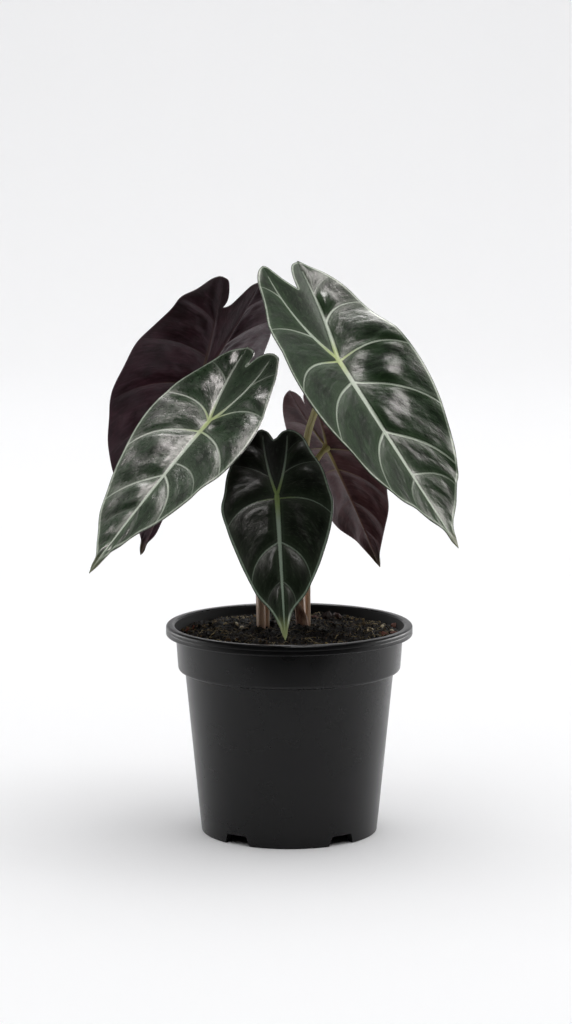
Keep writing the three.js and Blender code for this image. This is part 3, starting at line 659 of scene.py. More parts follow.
def domes(at, table):
    """The height of the soft domes and hollows, given as centre, radius and height."""
    height = np.zeros(at.shape[:-1])
    for x, y, radius, top in table:
        away = np.hypot(at[..., 0] - x, at[..., 1] - y) / radius
        height += top * np.cos(np.pi / 2 * np.minimum(away, 1)) ** 2
    return height


def half_patches(leaf, half, heights, side):
    """The wide part of a half and the inner side of its lobe, each as rows of points with their lift,
    their share of the lumps, their satin, their place in the grain and the turn of their faces."""
    y = np.append(heights, half.apex[1])
    wide = max(x for x, _ in half.margin_points)
    u = spread(math.ceil(wide / BLADE_STEP), 0.3)
    rows, columns = np.meshgrid(y, u, indexing="ij")
    at, below, above, out = half.sample(rows, columns)
    rise = lambda distance: 1 - np.exp(-((distance / VEIN_WIDTH) ** 2))
    mask = rise(below) * rise(above) * rise(out) * (1 - columns ** 3)
    start = np.minimum(1, (rows - leaf["tip"]) / WAVE_START)
    wave = half.wave * start * columns ** 3 * np.sin(2 * np.pi * rows / WAVE_LENGTH)
    lift = mask * (half.bulge + domes(at, half.domes)) + wave
    middle = at[:, int(len(u) * 0.6)]
    steps = np.linalg.norm(np.diff(middle, axis=0), axis=1)
    row_place = np.concatenate([[0], np.cumsum(steps)])[:, None] + 0 * columns
    grain = np.stack([row_place + HALF_GRAIN * (side + 1), out], -1)
    outer = (at, lift, mask, half.lumpy + 0 * mask, half.satin + 0 * mask, grain, side)

    inner_u = spread(max(4, math.ceil(half.apex[0] * 0.8 / BLADE_STEP)), 0.0)
    rows, columns = np.meshgrid(y[y >= 0], inner_u, indexing="ij")
    inside = mixed(half.spine(rows), half.inner_edge(rows), columns[..., None])
    none = 0 * rows
    grain = inside * (side, 1) + LOBE_GRAIN
    return outer, (inside, none, none, none, none + INNER_SATIN, grain, -side)


def marks(points, halves):
    """For each point its distances from the veins and from the edge, the strength of the nearest vein
    and the height of its rib."""
    count = len(points)
    vein, edge = np.full(count, np.inf), np.full(count, np.inf)
    power, rib = np.zeros(count), np.zeros(count)
    for side, half in zip((-1, 1), halves):
        mine = points[:, 0] * side >= -1e-6
        own = points[mine] * (side, 1)
        nearest, ridge, strong = vein[mine], rib[mine], power[mine]
        for line, wide, narrow, strength, fade in half.veins():
            away, along = line_distance(own, line)
            width = mixed(wide, narrow, along)
            closer = away - width < nearest
            nearest = np.where(closer, away - width, nearest)
            strong = np.where(closer, strength * (1 - fade * along), strong)
            ridge = np.maximum(ridge, width * np.clip(1 - (away / (1.9 * width)) ** 2, 0, 1) ** 2)
        vein[mine], rib[mine], power[mine] = nearest, ridge, strong
        edge[mine] = np.minimum(edge[mine], line_distance(own, half.outline())[0])
    return {"vein": vein, "edge": edge, "power": power, "rib": rib}


def flat_blade(leaf, seed):
    """The points of the flat drawing with all that the shape and the material need, and its faces."""
    halves = (Half(leaf, leaf["left"]), Half(leaf, leaf["right"]))
    heights = spine_heights(leaf, halves)
    points, grains, values, faces, inner, shift = [], [], [], [], [], 0
    for side, half in zip((-1, 1), halves):
        for place, lift, swell, lumpy, satin, grain, turn in half_patches(leaf, half, heights, side):
            points.append(place.reshape(-1, 2) * (side, 1))
            grains.append(grain.reshape(-1, 2))
            values.append(np.stack([lift, swell, lumpy, satin], -1).reshape(-1, 4))
            n, m = place.shape[:2]
            i = (np.arange(n - 1)[:, None] * m + np.arange(m - 1)).ravel() + shift
            corners = [i, i + 1, i + m + 1, i + m]
            faces.append(np.stack(corners if turn > 0 else corners[::-1], -1))
            inner += [turn != side] * len(i)
            shift += n * m
    points, grains, values = np.vstack(points), np.vstack(grains), np.vstack(values)

    # points where patches meet become one
    _, first, same = np.unique(np.round(points, 3), axis=0, return_index=True, return_inverse=True)
    points, grains, values = points[first], grains[first], values[first]
    faces = same.ravel()[np.concatenate(faces)]
    lift, mask, lumpy, satin = values.T
    lumps, puckers = wrinkles(grains, seed, LEAF_LUMPS), wrinkles(grains, seed, LEAF_PUCKERS)
    return {
        "points": points, "faces": faces, "inner": inner, "grain": grains, "satin": satin,
        "lift": lift + mask * (lumpy * lumps + puckers), **marks(points, halves),
        "node": np.hypot(points[:, 0], points[:, 1]), "tip": points[:, 1] - leaf["tip"],
    }


# Leaf blades: the flat drawing bent in space


def leaf_frame(leaf):
    """The directions of the blade's right side, of its lobes and of its upper face, at the node."""
    a, d, r = (math.radians(leaf[key]) for key in ("heading", "droop", "roll"))
    level = np.array([math.cos(a), math.sin(a), 0])
    up = np.array([0, 0, 1.0])
    toward_lobes = -math.cos(d) * level + math.sin(d) * up
    upper = math.sin(d) * level + math.cos(d) * up
    across = np.cross(toward_lobes, upper)
    side = math.cos(r) * across + math.sin(r) * upper
    return side, toward_lobes, math.cos(r) * upper - math.sin(r) * across


def bent(leaf, points):
    """The places of flat points in space, and the direction of the upper face there."""
    side, toward_lobes, upper = leaf_frame(leaf)
    x, y = points[:, :1], points[:, 1:]
    per_mm = math.radians(1) / 100
    bend = np.where(y < 0, leaf["bend_tip"], leaf["bend_lobes"]) * per_mm
    bend = np.where(bend == 0, 1e-8, bend)
    spine = (np.array(leaf["node"]) + toward_lobes * np.sin(bend * y) / bend
             + upper * (np.cos(bend * y) - 1) / bend)
    up = toward_lobes * np.sin(bend * y) + upper * np.cos(bend * y)
    turn = leaf["twist"] * per_mm * y
    across = side * np.cos(turn) + up * np.sin(turn)
    up = up * np.cos(turn) - side * np.sin(turn)

    fold = np.radians(np.where(x < 0, *leaf["fold"]))
    curl = np.where(x < 0, *leaf["curl"]) * per_mm
    crease = CREASE_WIDTH + CREASE_SPREAD * np.maximum(y, 0)
    tilt = lambda distance: fold * (1 - np.exp(-distance / crease)) + curl * distance
    width = np.abs(x)
    out, rise = 0 * width, 0 * width
    for i in range(BEND_STEPS):
        angle = tilt(width * (i + 0.5) / BEND_STEPS)
        out += np.cos(angle) * width / BEND_STEPS
        rise += np.sin(angle) * width / BEND_STEPS
    hand = np.sign(x)
    place = spine + across * hand * out + up * rise
    return place, up * np.cos(tilt(width)) - across * hand * np.sin(tilt(width))


def make_blade(leaf, seed, materials):
    """A blade in the materials of its upper face, its underside and the inner sides of its lobes."""
    flat = flat_blade(leaf, seed)
    place, normal = bent(leaf, flat["points"])
    lift = flat["lift"]
    thinner, reach = EDGE_THIN
    half = BLADE_THICKNESS / 2 * (1 - thinner * np.exp(-flat["edge"] / reach))
    upper = place + normal * (lift + half - RIB_SINK * flat["rib"])[:, None]
    under = place - normal * (half - lift + RIB_STAND * flat["rib"])[:, None]

    count = len(place)
    faces, slots = [], []
    edges = {}
    for corners, inner in zip(flat["faces"].tolist(), flat["inner"]):
        face = [corner for i, corner in enumerate(corners) if corner != corners[i - 1]]
        if len(face) < 3:
            continue
        faces.append(face)
        faces.append([corner + count for corner in reversed(face)])
        slots += [2 if inner else 0, 1]
        for i, corner in enumerate(face):
            edges[face[i - 1], corner] = True
    for a, b in edges:
        if (b, a) not in edges:
            faces.append([b, a, a + count, b + count])
            slots.append(0)
    piece = new_object(f"leaf_{leaf['name']}", np.vstack([upper, under]), faces, materials,
                       slots=slots, sharp=LEAF_SHARP)
    for key in ("vein", "power", "edge", "node", "tip", "satin"):
        store(piece, key, np.tile(flat[key], 2))
    store(piece, "grain", np.tile(np.column_stack([flat["grain"], np.zeros(count)]), (2, 1)))
    return piece


# Petioles


def soil_height(x, y):
    r = np.hypot(x, y) / BAND_TOP_RADIUS
    a, b, c = LUMP_LENGTHS
    lump = np.sin(x / a) * np.cos(y / b) + np.sin((x + y) / c)
    return SOIL_EDGE_HEIGHT + SOIL_MOUND * (1 - r * r) + SOIL_LUMP * lump * (1 - r ** 6)


def space_curve(points, per_span=60):
    """A smooth curve through points in space, as close points along it."""
    points = [np.array(p, float) for p in points]
    points = [2 * points[0] - points[1], *points, 2 * points[-1] - points[-2]]
    out = []
    for p0, p1, p2, p3 in zip(points, points[1:], points[2:], points[3:]):
        d0, d1, d2 = (max(np.linalg.norm(b - a), 1e-8) ** 0.5 for a, b in ((p0, p1), (p1, p2), (p2, p3)))
        m1 = ((p1 - p0) / d0 - (p2 - p0) / (d0 + d1) + (p2 - p1) / d1) * d1
        m2 = ((p2 - p1) / d1 - (p3 - p1) / (d1 + d2) + (p3 - p2) / d2) * d1
        t = np.linspace(0, 1, per_span, endpoint=False)[:, None]
        out.append(p1 + m1 * t + (-3 * p1 + 3 * p2 - 2 * m1 - m2) * t ** 2
                   + (2 * p1 - 2 * p2 + m1 + m2) * t ** 3)
    return np.vstack([*out, points[-2][None]])


def evenly(curve, step):
    """The same curve with points at even steps, and their distance along it."""
    run = np.concatenate([[0], np.cumsum(np.linalg.norm(np.diff(curve, axis=0), axis=1))])
    along = np.linspace(0, run[-1], max(2, round(run[-1] / step)) + 1)
    return np.column_stack([np.interp(along, run, curve[:, k]) for k in range(3)]), along


def cross_axes(curve):
    """Two directions square to the curve at each of its points, which turn as little as they can."""
    tangent = np.gradient(curve, axis=0)
    tangent /= np.linalg.norm(tangent, axis=1, keepdims=True)
    first = np.cross(tangent[0], (0, 1, 0) if abs(tangent[0][1]) < 0.9 else (1, 0, 0))
    axes = []
    for direction in tangent:
        first = first - direction * (first @ direction)
        first /= np.linalg.norm(first)
        axes.append((first, np.cross(direction, first)))
    return np.array([a for a, _ in axes]), np.array([b for _, b in axes])


def tube(curve, radii, sides):
    """Points and faces of a closed tube. radii holds a radius for each ring, or for each of its points."""
    first, second = cross_axes(curve)
    angle = 2 * np.pi * np.arange(sides) / sides
    radii = np.broadcast_to(radii.reshape(len(curve), -1), (len(curve), sides))
    rings = (curve[:, None] + radii[..., None] * (np.cos(angle)[None, :, None] * first[:, None]
                                                  + np.sin(angle)[None, :, None] * second[:, None]))
    points = np.vstack([rings.reshape(-1, 3), curve[:1], curve[-1:]])
    faces = []
    for i in range(len(curve) - 1):
        for j in range(sides):
            k = (j + 1) % sides
            faces.append((i * sides + j, i * sides + k, (i + 1) * sides + k, (i + 1) * sides + j))
    end = len(curve) * sides
    last = (len(curve) - 1) * sides
    for j in range(sides):
        k = (j + 1) % sides
        faces.append((end, k, j))
        faces.append((end + 1, last + j, last + k))
    return points, faces


def make_petiole(leaf, seed, material):
    """A petiole with its sheathed foot, its ridges and the collar where it meets the blade."""
    base, (base_radius, top_radius) = leaf["petiole"]["base"], leaf["petiole"]["radii"]
    soil_z = float(soil_height(*base))
    upper = leaf_frame(leaf)[2]
    top = np.array(leaf["node"]) - upper * (BLADE_THICKNESS / 2 + PETIOLE_GAP)
    curve = space_curve([(*base, soil_z - STEM_DEPTH), (*base, soil_z - 1), *leaf["petiole"]["via"],
                         top - upper * PETIOLE_TOP, top, top + upper * PETIOLE_GAP * 1.2])
    curve, along = evenly(curve, PETIOLE_STEP)
    length = along[-1]
    above = np.maximum(0, along - STEM_DEPTH)
    sheath = np.exp(-((above / SHEATH_HEIGHT) ** 2))
    radius = mixed(mixed(base_radius * PETIOLE_WAIST, top_radius, along / length), base_radius, sheath)
    collar, collar_reach = COLLAR
    neck, neck_place, neck_reach = NECK
    radius = radius + collar * np.exp(-(((length - along) / collar_reach) ** 2))
    radius = radius + neck * np.exp(-(((length - along - neck_place) / neck_reach) ** 2))

    angle = 2 * np.pi * np.arange(PETIOLE_SIDES) / PETIOLE_SIDES
    facing = (angle - seed * 1.7 + np.pi) % (2 * np.pi) - np.pi
    wrap = smooth_step(above, SHEATH_HEIGHT * 1.5, SHEATH_HEIGHT * 0.2)
    lips = (np.exp(-(((facing - 0.42) / 0.16) ** 2)) - 0.9 * np.exp(-(((facing + 0.05) / 0.22) ** 2)))
    ridges = 0.016 * np.cos(9 * angle) + 0.012 * np.cos(14 * angle + 1)
    radii = radius[:, None] * (1 + 0.10 * wrap[:, None] * lips + ridges)
    points, faces = tube(curve, radii, PETIOLE_SIDES)
    piece = new_object(f"stalk_{leaf['name']}", points, faces, [material], sharp=PETIOLE_SHARP)
    rise = (along - STEM_DEPTH) / (length - STEM_DEPTH)
    store(piece, "rise", np.concatenate([np.repeat(rise, PETIOLE_SIDES), [0, 1]]))
    turn = np.tile(angle * base_radius, len(curve))
    grain = np.column_stack([turn, np.repeat(along, PETIOLE_SIDES), np.full(len(turn), seed * 50.0)])
    store(piece, "grain", np.vstack([grain, np.zeros((2, 3))]))
    return piece


def make_old_sheath(material):
    """The dry, split sheath of a shed leaf, which still hugs the foot of the right front petiole."""
    x, y = LEAVES[0]["petiole"]["base"]
    soil_z = float(soil_height(x, y))
    rows, columns = SHEATH_STEPS
    points, faces = [], []
    for i in range(rows + 1):
        t = i / rows
        height = soil_z - 3 + SHEATH_GROWTH * t
        reach = math.radians(mixed(150, 26, t ** 1.6))
        for j in range(columns + 1):
            s = 2 * j / columns - 1
            angle = math.radians(205) + reach * s
            frill = 0.35 * t * math.sin(7 * s + 3 * t) + 0.25 * t * t * math.sin(19 * s)
            radius = 2.55 + 0.35 * abs(s) + 0.9 * t * t + frill
            top = 1.6 * math.sin(5 * s + 1) * t ** 4
            points.append((x + radius * math.cos(angle), y + radius * math.sin(angle), height + top))
    for i in range(rows):
        for j in range(columns):
            a = i * (columns + 1) + j
            faces.append((a, a + 1, a + columns + 2, a + columns + 1))
    piece = new_object("old_sheath", points, faces, [material])
    store(piece, "rise", np.repeat(np.linspace(0, 1, rows + 1), columns + 1))
    thick = piece.modifiers.new("thickness", "SOLIDIFY")
    thick.thickness = SHEATH_THICKNESS * MM
    thick.offset = 1
    return piece


# Pot


def inner_wall():
    """Radii and heights of the pot's inside, from the middle of the floor up to the rim."""
    floor, raised = FLOOR, CHANNEL_HEIGHT + FLOOR
    pad = PAD_RADIUS - PAD_INSET
    return [
        (0, floor), (pad, floor), (pad + CHANNEL_SLOPE, raised),
        (SKIRT_RADIUS - SKIRT_SLOPE - WALL, raised), (SKIRT_RADIUS - WALL, SKIRT_HEIGHT),
        (BODY_TOP_RADIUS - WALL, STEP_HEIGHT - STEP_FALL), (BAND_LOW_RADIUS - WALL, STEP_HEIGHT),
        (BAND_TOP_RADIUS - WALL, POT_HEIGHT - RIM_HEIGHT),
        (RIM_RADIUS - RIM_WIDTH, POT_HEIGHT - RIM_ROUND), (RIM_RADIUS - RIM_WIDTH + RIM_ROUND, POT_HEIGHT),
    ]


def pot_profile():
    """Radii and heights all round the pot's wall, from the middle of its underside."""
    lip, hollow = POT_HEIGHT - RIM_HEIGHT, POT_HEIGHT - WALL
    foot = BASE_RADIUS - FOOT_WIDTH
    outer = [
        (0, 0), (PAD_RADIUS, 0), (PAD_RADIUS + CHANNEL_SLOPE, CHANNEL_HEIGHT),
        (foot - FOOT_SLOPE, CHANNEL_HEIGHT), (foot, 0), (BASE_RADIUS, 0), (SKIRT_RADIUS, SKIRT_HEIGHT),
        (BODY_TOP_RADIUS, STEP_HEIGHT - STEP_FALL), (BAND_LOW_RADIUS, STEP_HEIGHT),
        (BAND_TOP_RADIUS, lip), (BAND_TOP_RADIUS + HOLLOW_SLOPE, hollow), (RIM_RADIUS - WALL, hollow),
        (RIM_RADIUS - WALL, lip), (RIM_RADIUS - LIP_ROUND, lip), (RIM_RADIUS, lip + LIP_ROUND),
        (RIM_RADIUS, GROOVE_HEIGHT), (RIM_RADIUS - GROOVE_DEPTH, GROOVE_HEIGHT + GROOVE_WIDTH / 2),
        (RIM_RADIUS, GROOVE_HEIGHT + GROOVE_WIDTH), (RIM_RADIUS, POT_HEIGHT - RIM_ROUND),
        (RIM_RADIUS - RIM_ROUND, POT_HEIGHT),
    ]
    return outer + inner_wall()[::-1]


def softened(profile, steps=4):
    """The profile with its corners rounded, as plastic leaves a mould."""
    points = [np.array(p, float) for p in profile]
    out = [points[0]]
    for a, b, c in zip(points, points[1:], points[2:]):
        before, after = np.linalg.norm(b - a), np.linalg.norm(c - b)
        wanted = STEP_ROUND if tuple(b) == (BAND_LOW_RADIUS, STEP_HEIGHT) else EDGE_ROUND
        reach = min(wanted, before * 0.45, after * 0.45)
        start, end = b + (a - b) * reach / before, b + (c - b) * reach / after
        for i in range(steps + 1):
            t = i / steps
            out.append((1 - t) ** 2 * start + 2 * t * (1 - t) * b + t * t * end)
    return out + [points[-1]]


def lathe(profile, sides):
    """Points and faces of a profile turned round the middle. It starts and ends on the axis, and each
    of its heights is a number or a function of the place."""
    points, faces, rings = [], [], []
    for r, z in profile:
        count = sides if r > 0 else 1
        rings.append(range(len(points), len(points) + count))
        for j in range(count):
            angle = 2 * math.pi * j / sides
            x, y = r * math.cos(angle), r * math.sin(angle)
            points.append((x, y, z(x, y) if callable(z) else z))
    for low, high in zip(rings, rings[1:]):
        for j in range(sides):
            k = (j + 1) % sides
            corners = [high[j % len(high)], low[j % len(low)], low[k % len(low)], high[k % len(high)]]
            face = [c for i, c in enumerate(corners) if c != corners[i - 1]]
            faces.append(tuple(face))
    return points, faces


def prisms(pairs):
    """Points and faces of the solids between pairs of like outlines."""
    points, faces = [], []
    for first, second in pairs:
        shift, n = len(points), len(first)
        points += [*first, *second]
        low, high = range(shift, shift + n), range(shift + n, shift + 2 * n)
        faces += [tuple(reversed(low)), tuple(high)]
        faces += [(low[j], low[(j + 1) % n], high[(j + 1) % n], high[j]) for j in range(n)]
    return points, faces


def make_pot(material):
    """The pot as one mesh, turned from its profile, with its notches and drain holes cut out."""
    points, faces = lathe(softened(pot_profile()), POT_SIDES)
    pot = new_object("pot_shell", points, faces, [material])
    inside, drain_radius = BASE_RADIUS - 2 * FOOT_WIDTH, (PAD_RADIUS + BASE_RADIUS - FOOT_WIDTH) / 2
    low, high = NOTCH_WIDTH / 2, NOTCH_TOP_WIDTH / 2
    notch = [(-low, -1), (low, -1), (high, NOTCH_HEIGHT), (-high, NOTCH_HEIGHT)]
    circle = [2 * math.pi * j / DRAIN_SIDES for j in range(DRAIN_SIDES)]
    cuts = []
    for i in range(NOTCHES):
        angle = (i + 0.5) * 2 * math.pi / NOTCHES
        c, s = math.cos(angle), math.sin(angle)
        cuts.append([[(x * c + out * s, x * s - out * c, z) for x, z in notch]
                     for out in (inside, inside + 4 * FOOT_WIDTH)])
        cuts.append([[(drain_radius * s + DRAIN_RADIUS * math.cos(turn),
                       DRAIN_RADIUS * math.sin(turn) - drain_radius * c, z) for turn in circle]
                     for z in (CHANNEL_HEIGHT - 2, CHANNEL_HEIGHT + FLOOR + 2)])
    cut_points, cut_faces = prisms(cuts)
    cutter = new_object("cutter", cut_points, cut_faces, [], smooth=False)
    for piece in (pot, cutter):
        tidy = bmesh.new()
        tidy.from_mesh(piece.data)
        bmesh.ops.recalc_face_normals(tidy, faces=tidy.faces)
        tidy.to_mesh(piece.data)
        tidy.free()
    cut = pot.modifiers.new("notches", "BOOLEAN")
    cut.operation, cut.object, cut.solver = "DIFFERENCE", cutter, "EXACT"
    applied(pot)
    bpy.data.objects.remove(cutter)
    pot.data.polygons.foreach_set("use_smooth", [True] * len(pot.data.polygons))
    pot.data.set_sharp_from_angle(angle=math.radians(POT_SHARP))
    return pot


def applied(piece):
    """The piece's modifiers made part of its mesh."""
    graph = bpy.context.evaluated_depsgraph_get()
    mesh = bpy.data.meshes.new_from_object(piece.evaluated_get(graph), depsgraph=graph)
    piece.modifiers.clear()
    piece.data = mesh


# Soil


def peat_height(x, y):
    """The height of the soil with its crumbs."""
    layers = [(height, length, length, cut) for height, length, cut in PEAT_GRAIN]
    return float(soil_height(x, y)) + noise_sum((x, y), layers)


def make_soil(material):
    """The soil's rough top, and below it the plain mass that fills the pot."""
    edge = BAND_TOP_RADIUS - WALL - 0.05
    hidden = [(SKIRT_RADIUS, SKIRT_HEIGHT), (BODY_TOP_RADIUS, STEP_HEIGHT - 1),
              (BAND_LOW_RADIUS, STEP_HEIGHT + 1)]
    profile = [(0, SKIRT_HEIGHT - 1), *((outer - WALL - 0.3, z) for outer, z in hidden)]
    profile += [(edge * i / SOIL_RINGS, peat_height) for i in range(SOIL_RINGS, -1, -1)]
    points, faces = lathe(profile, SOIL_SPOKES)
    return new_object("peat", points, faces, [material])


def pebble_template():
    """The points and faces of a small ball."""
    shape = bmesh.new()
    bmesh.ops.create_icosphere(shape, subdivisions=1, radius=1)
    shape.verts.ensure_lookup_table()
    points = np.array([v.co for v in shape.verts])
    faces = np.array([[v.index for v in f.verts] for f in shape.faces])
    shape.free()
    return points, faces


def scattered(name, rng, places, sizes, flatness, material, tints, rough=0.35, sink=0.25):
    """Many small lumps in one mesh, each turned and knocked out of round in its own way."""
    template, template_faces = pebble_template()
    points, faces, marks = [], [], []
    for (x, y), size, flat, tint in zip(places, sizes, flatness, tints):
        turn = rng.normal(size=4)
        w, a, b, c = turn / np.linalg.norm(turn)
        rotation = np.array([
            [1 - 2 * (b * b + c * c), 2 * (a * b - c * w), 2 * (a * c + b * w)],
            [2 * (a * b + c * w), 1 - 2 * (a * a + c * c), 2 * (b * c - a * w)],
            [2 * (a * c - b * w), 2 * (b * c + a * w), 1 - 2 * (a * a + b * b)]])
        stretch = np.array([1, rng.uniform(0.55, 1), flat])
        lump = template * (1 + rng.uniform(-rough, rough, (len(template), 1))) * stretch * size
        lump = lump @ rotation.T
        z = peat_height(x, y) + size * flat * (1 - 2 * sink)
        faces.append(template_faces + len(template) * len(points))
        points.append(lump + (x, y, z))
        marks.append(np.full(len(template), tint))
    piece = new_object(name, np.vstack(points), np.vstack(faces).tolist(), [material], smooth=False)
    store(piece, "tint", np.concatenate(marks))
    return piece


def disc_places(rng, count, radius):
    """Places spread evenly over a disc."""
    angle = rng.uniform(0, 2 * np.pi, count)
    r = radius * np.sqrt(rng.uniform(0, 1, count))
    return np.column_stack([r * np.cos(angle), r * np.sin(angle)])


def make_fibres(rng, material):
    """Rootlets and peat fibres that lie curled on the soil."""
    points, faces, marks, shift = [], [], [], 0
    steps = 9
    for x, y in disc_places(rng, FIBRES, FIBRE_REACH):
        length, heading, curve = rng.uniform(3, 11), rng.uniform(0, 2 * np.pi), rng.normal(0, 0.18)
        path = []
        for i in range(steps):
            arch = 0.9 * math.sin(math.pi * i / (steps - 1)) * rng.uniform(0, 1)
            path.append((x, y, peat_height(x, y) + 0.25 + arch))
            x += length / steps * math.cos(heading)
            y += length / steps * math.sin(heading)
            heading += curve + rng.normal(0, 0.22)
        path = np.array(path)
        if np.hypot(path[:, 0], path[:, 1]).max() > CRUMB_REACH:
            continue
        thin = rng.uniform(0.08, 0.24)
        ring_points, ring_faces = tube(path, np.linspace(thin, thin * 0.5, steps), 5)
        points.append(ring_points)
        faces += [tuple(shift + c for c in face) for face in ring_faces]
        marks.append(np.full(len(ring_points), rng.uniform()))
        shift += len(ring_points)
    piece = new_object("peat_fibres", np.vstack(points), faces, [material])
    store(piece, "tint", np.concatenate(marks))
    return piece


# Materials


def upper_face(name, tones, crease_shade_strength, dull, shine, crumple):
    """The glossy upper face: dark quilted green, silvery veins edged with painted crease shade, a pale
    margin.
    """
    s = Shader(f"blade_upper_{name}")
    deep, green, bright, vein_tone, node_tone, tip_tone = (tone(*levels) for levels in tones)
    vein, power, edge, node, tip = (s.attribute(key) for key in ("vein", "power", "edge", "node", "tip"))
    grain, satin = s.attribute("grain", "Vector"), s.attribute("satin")
    blotch = s.noise(s.scaled(grain, (0.11, 0.09, 1)), 1.0, 3.0, 0.6)
    streak = s.noise(s.scaled(grain, (0.75, 0.3, 1)), 1.0, 3.0, 0.62, 0.6)
    crinkle = s.noise(s.scaled(grain, (0.62, 0.5, 1)), 1.0, 4.0, 0.6, 0.4)
    fine = s.noise(s.scaled(grain, (2.6, 2.0, 1)), 1.0, 2.0, 0.6)
    colour = s.mix(s.between(blotch, 0.32, 0.68), deep, green)
    colour = s.mix(s.between(streak, 0.48, 0.78, 0.0, 0.4), colour, bright)
    colour = s.mix(s.between(fine, 0.5, 0.8, 0.0, 0.2), colour, bright)
    colour = s.mix(s.times(satin, 0.3), colour, green)
    halo = s.times(s.between(vein, 0.0, 2.4, 0.45, 0.0), power)
    colour = s.mix(halo, colour, bright)
    colour = s.mix(s.times(s.between(vein, 0.5, 7.0, 0.22, 0.0), power), colour, bright)
    colour = s.mix(s.between(edge, 0.5, 4.0, 0.3, 0.0), colour, bright)

    ragged = s.math("ADD", vein, s.times(s.math("SUBTRACT", fine, 0.5), 0.8))
    # painted shade: a near-black line along each vein, where its crease would be shaded
    painted_crease_shade = s.times(s.times(s.hill(ragged, 0.5, 0.42), crease_shade_strength), power)
    colour = s.mix(painted_crease_shade, colour, tone(9, 12, 10))
    core = s.times(s.between(ragged, -0.3, 0.3, 1.0, 0.0), power)
    near_node = s.between(node, 2.0, 16.0, 1.0, 0.0)
    silver = s.mix(near_node, vein_tone, node_tone)
    colour = s.mix(core, colour, silver)

    pale_margin = s.times(s.hill(edge, 0.6, 0.65), s.between(crinkle, 0.3, 0.7, 0.55, 0.95))
    colour = s.mix(pale_margin, colour, vein_tone)
    colour = s.mix(s.between(edge, 0.02, 0.2, 0.6, 0.0), colour, tone(40, 44, 36))
    colour = s.mix(s.between(tip, 3.0, 13.0, 0.85, 0.0), colour, tip_tone)

    rough = s.between(crinkle, 0.3, 0.75, 0.27 + dull, 0.4 + dull)
    rough = s.math("ADD", rough, s.times(core, 0.12))
    rough = s.math("ADD", rough, s.times(satin, 0.2))
    ripple = s.bump(crinkle, 0.00024 * crumple, 0.6)
    lines = s.bump(streak, 0.0001 * crumple, 0.45, ripple)
    skin = s.bump(fine, 0.00007 * crumple, 0.5, lines)
    return s.finished(colour=colour, roughness=rough, specular=shine, specular_tint=(1.0, 0.9, 0.9, 1.0),
                      coat=0.1, coat_roughness=0.2, normal=skin)


def under_face(name, tones, vein_strength):
    """The satin underside: maroon purple, with the midrib olive brown and the side veins faint."""
    s = Shader(f"blade_under_{name}")
    deep, purple, light, rib_tone, node_tone = (tone(*levels) for levels in tones)
    vein, power, edge, node, tip = (s.attribute(key) for key in ("vein", "power", "edge", "node", "tip"))
    grain = s.attribute("grain", "Vector")
    blotch = s.noise(s.scaled(grain, (0.09, 0.07, 1)), 1.0, 3.0, 0.6)
    streak = s.noise(s.scaled(grain, (0.6, 0.16, 1)), 1.0, 3.0, 0.6, 0.5)
    fine = s.noise(s.scaled(grain, (2.4, 1.8, 1)), 1.0, 2.0, 0.6)
    colour = s.mix(s.between(blotch, 0.3, 0.7), deep, purple)
    colour = s.mix(s.between(streak, 0.45, 0.8, 0.0, 0.35), colour, light)
    core = s.times(s.between(vein, -0.3, 0.3, 1.0, 0.0), s.between(power, 0.6, 1.0, 0.1, vein_strength))
    near_node = s.between(node, 3.0, 24.0, 1.0, 0.0)
    colour = s.mix(core, colour, s.mix(near_node, rib_tone, node_tone))
    colour = s.mix(s.between(edge, 0.1, 0.9, 0.4, 0.0), colour, light)
    colour = s.mix(s.between(tip, 3.0, 14.0, 0.8, 0.0), colour, tone(84, 72, 48))
    rough = s.between(streak, 0.3, 0.75, 0.4, 0.54)
    ripple = s.bump(streak, 0.00036, 0.6)
    skin = s.bump(fine, 0.00008, 0.5, ripple)
    return s.finished(colour=colour, roughness=rough, specular=0.28, specular_tint=(1.0, 0.84, 0.93, 1.0),
                      sheen=0.015, sheen_roughness=0.45, sheen_tint=(0.9, 0.7, 0.86, 1.0), normal=skin)


def stalk_material():
    """Olive stalks, yellower at the top, pinkish brown and streaked at the sheathed foot."""
    s = Shader("stalk_skin")
    rise = s.attribute("rise")
    grain = s.attribute("grain", "Vector")
    streak = s.noise(s.scaled(grain, (1.7, 0.09, 1)), 1.0, 3.0, 0.6)
    fleck = s.noise(s.scaled(grain, (2.2, 0.8, 1)), 1.0, 2.0, 0.5)
    colour = s.mix(s.between(rise, 0.14, 0.46), tone(214, 178, 148), tone(148, 140, 90))
    colour = s.mix(s.between(rise, 0.45, 0.95), colour, tone(184, 180, 112))
    colour = s.mix(s.between(streak, 0.45, 0.75, 0.0, 0.6), colour, tone(226, 206, 172))
    colour = s.mix(s.between(fleck, 0.58, 0.78, 0.0, 0.4), colour, tone(122, 88, 70))
    colour = s.mix(s.between(rise, -0.02, 0.04, 0.7, 0.0), colour, tone(120, 80, 64))
    return s.finished(colour=colour, roughness=s.between(streak, 0.3, 0.7, 0.36, 0.5), specular=0.45,
                      normal=s.bump(streak, 0.00018, 0.6))


def sheath_material():
    """Papery brown, dark at the foot and pale at the torn top."""
    s = Shader("dry_sheath")
    rise = s.attribute("rise")
    place = s.scaled(s.place(), (900, 900, 160))
    streak = s.noise(place, 1.0, 3.0, 0.6)
    colour = s.mix(s.between(streak, 0.35, 0.7), tone(140, 96, 78), tone(200, 166, 140))
    colour = s.mix(s.between(rise, 0.1, 0.35, 0.85, 0.0), colour, tone(84, 46, 40))
    colour = s.mix(s.between(rise, 0.55, 1.0, 0.0, 0.7), colour, tone(222, 198, 172))
    return s.finished(colour=colour, roughness=0.62, specular=0.3, normal=s.bump(streak, 0.0002, 0.6))


